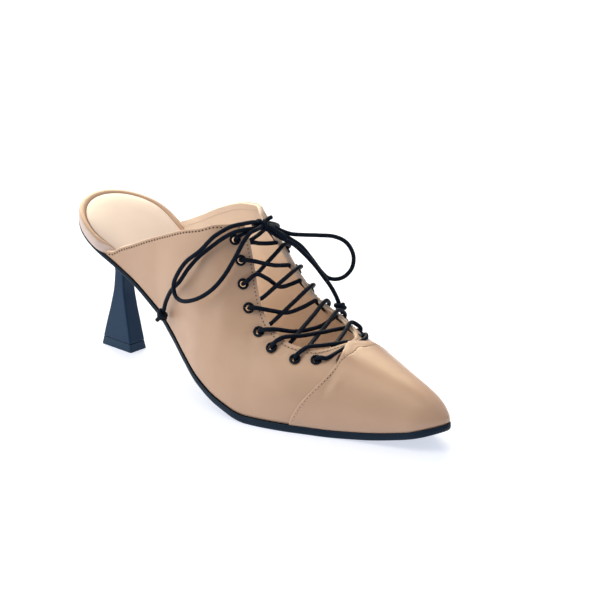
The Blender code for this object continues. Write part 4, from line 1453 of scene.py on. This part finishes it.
# Noise as (scale, detail, roughness), bumps as (strength, distance) and spreads of the roughness.
LEATHER_CLOUDS = (38.0, 3.0, 0.55)
CLOUD_STOPS = (0.30, 0.50, 0.72)
TONE_SPREAD = 0.05
LEATHER_GLOSS = (220.0, 3.0)
LEATHER_GLOSS_SPREAD = (-0.05, 0.07)
LEATHER_UNEVEN = (90.0, 2.0)
LEATHER_UNEVEN_BUMP = (0.10, 0.0006)
GRAIN_CELLS = 1900.0
GRAIN_DISTANCE = 0.00010
LEATHER_NAP = (5200.0, 2.0, 0.6)
NAP_SHARE = 0.6
NAP_DISTANCE = 0.00004
COAT_ROUGH = 0.24
CORD_CLOUDS = (420.0, 3.0)
CORD_TONES = ((0.35, (0.003, 0.005, 0.011)), (0.65, (0.006, 0.009, 0.017)))
CORD_GLOSS = (700.0, 2.0)
CORD_ROUGH = (0.40, 0.56)
CORD_SHINE = 0.09
CORD_TINT = (0.55, 0.75, 1.0, 1.0)
BRAID = (2600.0, 3.0, 0.6)
BRAID_BUMP = (0.25, 0.00008)
DARK_CLOUDS = (60.0, 4.0)
DARK_STOPS = (0.3, 0.7)
DARK_GLOSS = (260.0, 3.0)
DARK_GLOSS_SPREAD = (-0.06, 0.08)
DARK_GRAIN_DETAIL = (4.0, 0.6)
DARK_GRAIN_DISTANCE = 0.00008
WHITE = (1.0, 1.0, 1.0)
BLUISH = (0.45, 0.72, 1.0)


def leather(name, colour, rough, coat, grain, spread=TONE_SPREAD):
    """Smooth finished leather: faint cloudy colour, fine grain cells and uneven gloss."""
    nodes = Nodes(name)
    tones = [shaded(colour, 1.0 + change) for change in (-spread, 0.0, spread)]
    nodes.colour(nodes.noise(*LEATHER_CLOUDS), list(zip(CLOUD_STOPS, tones)))
    nodes.rough(nodes.noise(*LEATHER_GLOSS), *(rough + change for change in LEATHER_GLOSS_SPREAD))
    nodes.bump(nodes.noise(*LEATHER_UNEVEN), *LEATHER_UNEVEN_BUMP)
    nodes.bump(nodes.cells(GRAIN_CELLS), grain, GRAIN_DISTANCE)
    nodes.bump(nodes.noise(*LEATHER_NAP), grain * NAP_SHARE, NAP_DISTANCE)
    nodes.set(Coat_Weight=coat, Coat_Roughness=COAT_ROUGH)
    return nodes.material


def cord_material():
    """Waxed round lace: nearly black, with the fine ribs of its braid."""
    nodes = Nodes("waxed black cord")
    nodes.colour(nodes.noise(*CORD_CLOUDS), CORD_TONES)
    nodes.rough(nodes.noise(*CORD_GLOSS), *CORD_ROUGH)
    nodes.bump(nodes.noise(*BRAID), *BRAID_BUMP)
    nodes.set(Specular_IOR_Level=CORD_SHINE, Specular_Tint=CORD_TINT)
    return nodes.material


def dark_material(name, low, high, rough, grain_scale, grain, gloss=0.5, tint=WHITE):
    """Dark rubber, lacquer or enamel: gloss is the strength of its reflections and tint their colour."""
    nodes = Nodes(name)
    nodes.colour(nodes.noise(*DARK_CLOUDS), list(zip(DARK_STOPS, (low, high))))
    nodes.rough(nodes.noise(*DARK_GLOSS), *(rough + change for change in DARK_GLOSS_SPREAD))
    nodes.bump(nodes.noise(grain_scale, *DARK_GRAIN_DETAIL), grain, DARK_GRAIN_DISTANCE)
    nodes.set(Specular_IOR_Level=gloss, Specular_Tint=(*tint, 1.0))
    return nodes.material


upper_leather = leather("tan leather", (0.490, 0.311, 0.208), 0.40, 0.13, 0.16)
lining_leather = leather("cream lining", (0.8624, 0.7007, 0.5733), 0.55, 0.0, 0.22, 0.03)
edge_leather = leather("cut edge", (0.66, 0.51, 0.40), 0.60, 0.0, 0.25)
# The insole rim's side: tan leather painted paler, a painted sheen.
painted_sheen_rim_leather = leather("rim leather", (0.60, 0.476, 0.425), 0.45, 0.08, 0.16)
# Painted shade for the gap by the toe cap's edge.
painted_shade_leather = leather("painted shade in the gap", (0.10, 0.060, 0.040), 0.7, 0.0, 0.2)
sock_leather = leather("cream sock leather", (0.69, 0.558, 0.485), 0.42, 0.10, 0.14, 0.03)
thread = leather("tan thread", (0.56, 0.40, 0.285), 0.6, 0.0, 0.3)
rubber = dark_material(
    "black rubber", (0.007, 0.012, 0.022), (0.011, 0.018, 0.030), 0.48, 900.0, 0.2, 0.22, BLUISH)
lacquer = dark_material(
    "black heel", (0.011, 0.026, 0.060), (0.015, 0.034, 0.072), 0.42, 700.0, 0.12, 0.26, BLUISH)
tread = dark_material(
    "black tread", (0.019, 0.037, 0.069), (0.025, 0.047, 0.082), 0.55, 1200.0, 0.3, 0.25, BLUISH)
enamel = dark_material(
    "black enamel", (0.001, 0.001, 0.003), (0.002, 0.002, 0.005), 0.26, 500.0, 0.05, 0.22, BLUISH)
bore = dark_material("pale eyelet bore", (0.42, 0.33, 0.26), (0.48, 0.38, 0.30), 0.42, 500.0, 0.05)
# Painted shade for the stitch holes.
painted_hole_shade = dark_material("painted shade in stitch holes", (0.075, 0.047, 0.031), (0.10, 0.062, 0.040), 0.8, 900.0, 0.2, 0.1)
cord = cord_material()
UPPER_MATERIALS = [upper_leather, lining_leather, edge_leather, painted_shade_leather]


# Pieces


def own(piece, slot, *nodes):
    """Gives a piece its body, the root, and hides the nodes that it replaces, if any. Its slot is not used.
    """
    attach(piece, "root")
    if nodes:
        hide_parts(*nodes)
    return piece


# Each strand of the bow, with the places in the knot, measured from its middle, where it starts and ends.
BOW = (
    ("lace_loop_lateral", "bow_loop_lateral", LEFT_LOOP, (-0.4, -2.4, 1.6), (1.6, -2.4, 0.2)),
    ("lace_end_lateral", "bow_end_lateral", LEFT_END, (-0.2, -2.4, -0.2), None),
    ("lace_loop_medial", "bow_loop_medial", RIGHT_LOOP, (0.8, 2.2, -0.4), (3.0, 3.0, -2.6)),
    ("lace_end_medial", "bow_end_medial", RIGHT_END, (2.0, 0.8, -2.0), None),
)
for name, node, route, start, finish in BOW:
    route = np.array(route)
    points = [np.array(KNOT) + start, *route]
    if finish:
        points.append(np.array(KNOT) + finish)
    else:
        tip = build_tip_knot(name + "_tip", route[-2], route[-1] - route[-3], [cord])
        own(tip, "lace")
    piece, line, length = add_cord(name, points, cord)
    own(piece, "lace", node)

own(build_knot([cord]), "lace", "bow_knot")
own(build_lacing([cord]), "lace", *["lace_crossing_%d" % n for n in range(1, len(EYELETS))], "lace_top_bar")

stitches, painted_hole_shades = Shape(), Shape()
for side in SIDES:
    quarter = build_quarter(side, UPPER_MATERIALS)
    cut_eyelet_holes(quarter, side)
    own(quarter, "upper", "upper")
    rings = build_eyelets(side, [enamel, bore])
    own(rings, "eyelet", *["eyelet_%s_%d" % (side_name(side), n) for n in range(1, len(EYELETS) + 1)])
    for start, end, deep, pit_size, thick in EDGE_SEAMS:
        points, normals = edge_line(side, start, end)
        stitch_row(stitches, painted_hole_shades, points - normals * deep, normals, pit_size, thick)
    stitch_row(stitches, painted_hole_shades, *cap_line(side), CAP_PIT, CAP_THREAD)
own(build_cap(UPPER_MATERIALS), "upper", "upper")
own(stitches.build_outward("stitches", [thread]), "upper")
own(painted_hole_shades.build("stitch_holes_painted_shade", [painted_hole_shade]), "upper")

own(build_outsole([rubber]), "sole", "outsole")
own(build_insole([painted_sheen_rim_leather, upper_leather]), "insole", "insole")
own(build_sock([sock_leather]), "sock", "sock")
heel, heel_tread = build_heel([lacquer], [tread])
own(heel, "heel", "heel")
own(heel_tread, "tread", "heel_top_piece")


# Floor, light and camera

FLOOR = 6.0
FLOOR_COLOUR = (0.44, 0.44, 0.44, 1.0)
FLOOR_ROUGH = 0.8
FLOOR_GLOW = (0.84, 0.88, 1.0, 1.0)
FLOOR_GLOW_STRENGTH = 0.72
# The sky is dimmer on the camera's side: cosines from its direction, and the strengths there.
SKY_COLOUR = (0.75, 0.85, 1.0, 1.0)
SKY = {"From Min": 0.35, "From Max": 0.98, "To Min": 0.69, "To Max": 0.21}
LIGHT_TARGET = Vector((0.0, 0.0, 0.04))
LIGHT_SIZE = (1.3, 1.2)
# Lights by name: place, power and colour.
LIGHTS = {
    "warm key": ((-1.1, 0.9, 1.1), 39.0, (1.0, 0.86, 0.59)),
    "warm top": ((-0.1, -0.6, 1.8), 12.8, (1.0, 0.83, 0.59)),
    "side fill": ((-0.6, -1.4, 0.9), 6.8, (1.0, 0.985, 0.88)),
    "rear fill": ((-1.35, -0.72, 0.7), 6.8, (1.0, 1.0, 0.91)),
}


def facing(way):
    """Turn of a camera or light that looks against this way."""
    return Vector(way).to_track_quat("Z", "Y").to_euler()


def add_camera():
    data = bpy.data.cameras.new("photo camera")
    data.sensor_width = SENSOR
    data.lens = FOCAL_PIXELS * SENSOR / IMAGE_SIDE
    data.shift_x = TARGET_LEFT / IMAGE_SIDE
    data.shift_y = TARGET_DOWN / IMAGE_SIDE
    camera = put("photo camera", data)
    camera.location = placed(CAMERA_TARGET) + TO_CAMERA * CAMERA_DISTANCE * MM
    camera.rotation_euler = facing(TO_CAMERA)
    bpy.context.scene.camera = camera


def add_floor():
    mesh = bpy.data.meshes.new("floor")
    corners = [(x * FLOOR, y * FLOOR, 0.0) for x, y in ((-1, -1), (1, -1), (1, 1), (-1, 1))]
    mesh.from_pydata(corners, [], [(0, 1, 2, 3)])
    nodes = Nodes("white floor")
    nodes.set(Base_Color=FLOOR_COLOUR, Roughness=FLOOR_ROUGH)
    nodes.set(Emission_Color=FLOOR_GLOW, Emission_Strength=FLOOR_GLOW_STRENGTH)
    mesh.materials.append(nodes.material)
    put("floor", mesh)


def add_sky():
    world = bpy.data.worlds.new("studio")
    bpy.context.scene.world = world
    world.use_nodes = True
    nodes, links = world.node_tree.nodes, world.node_tree.links
    background = nodes["Background"]
    background.inputs["Color"].default_value = SKY_COLOUR
    way = nodes.new("ShaderNodeTexCoord")
    toward = nodes.new("ShaderNodeVectorMath")
    toward.operation = "DOT_PRODUCT"
    toward.inputs[1].default_value = TO_CAMERA
    dimmed = nodes.new("ShaderNodeMapRange")
    for name, number in SKY.items():
        dimmed.inputs[name].default_value = number
    links.new(way.outputs["Generated"], toward.inputs[0])
    links.new(toward.outputs["Value"], dimmed.inputs["Value"])
    links.new(dimmed.outputs["Result"], background.inputs["Strength"])


def add_light(name, place, power, colour):
    data = bpy.data.lights.new(name, "AREA")
    data.shape = "RECTANGLE"
    data.size, data.size_y = LIGHT_SIZE
    data.energy = power
    data.color = colour
    light = put(name, data)
    light.location = place
    light.rotation_euler = facing(Vector(place) - LIGHT_TARGET)


add_camera()
add_floor()
add_sky()
for name, (place, power, colour) in LIGHTS.items():
    add_light(name, place, power, colour)

settings = bpy.context.scene.view_settings
settings.view_transform = "Standard"
settings.look = "None"
settings.exposure = 0.0
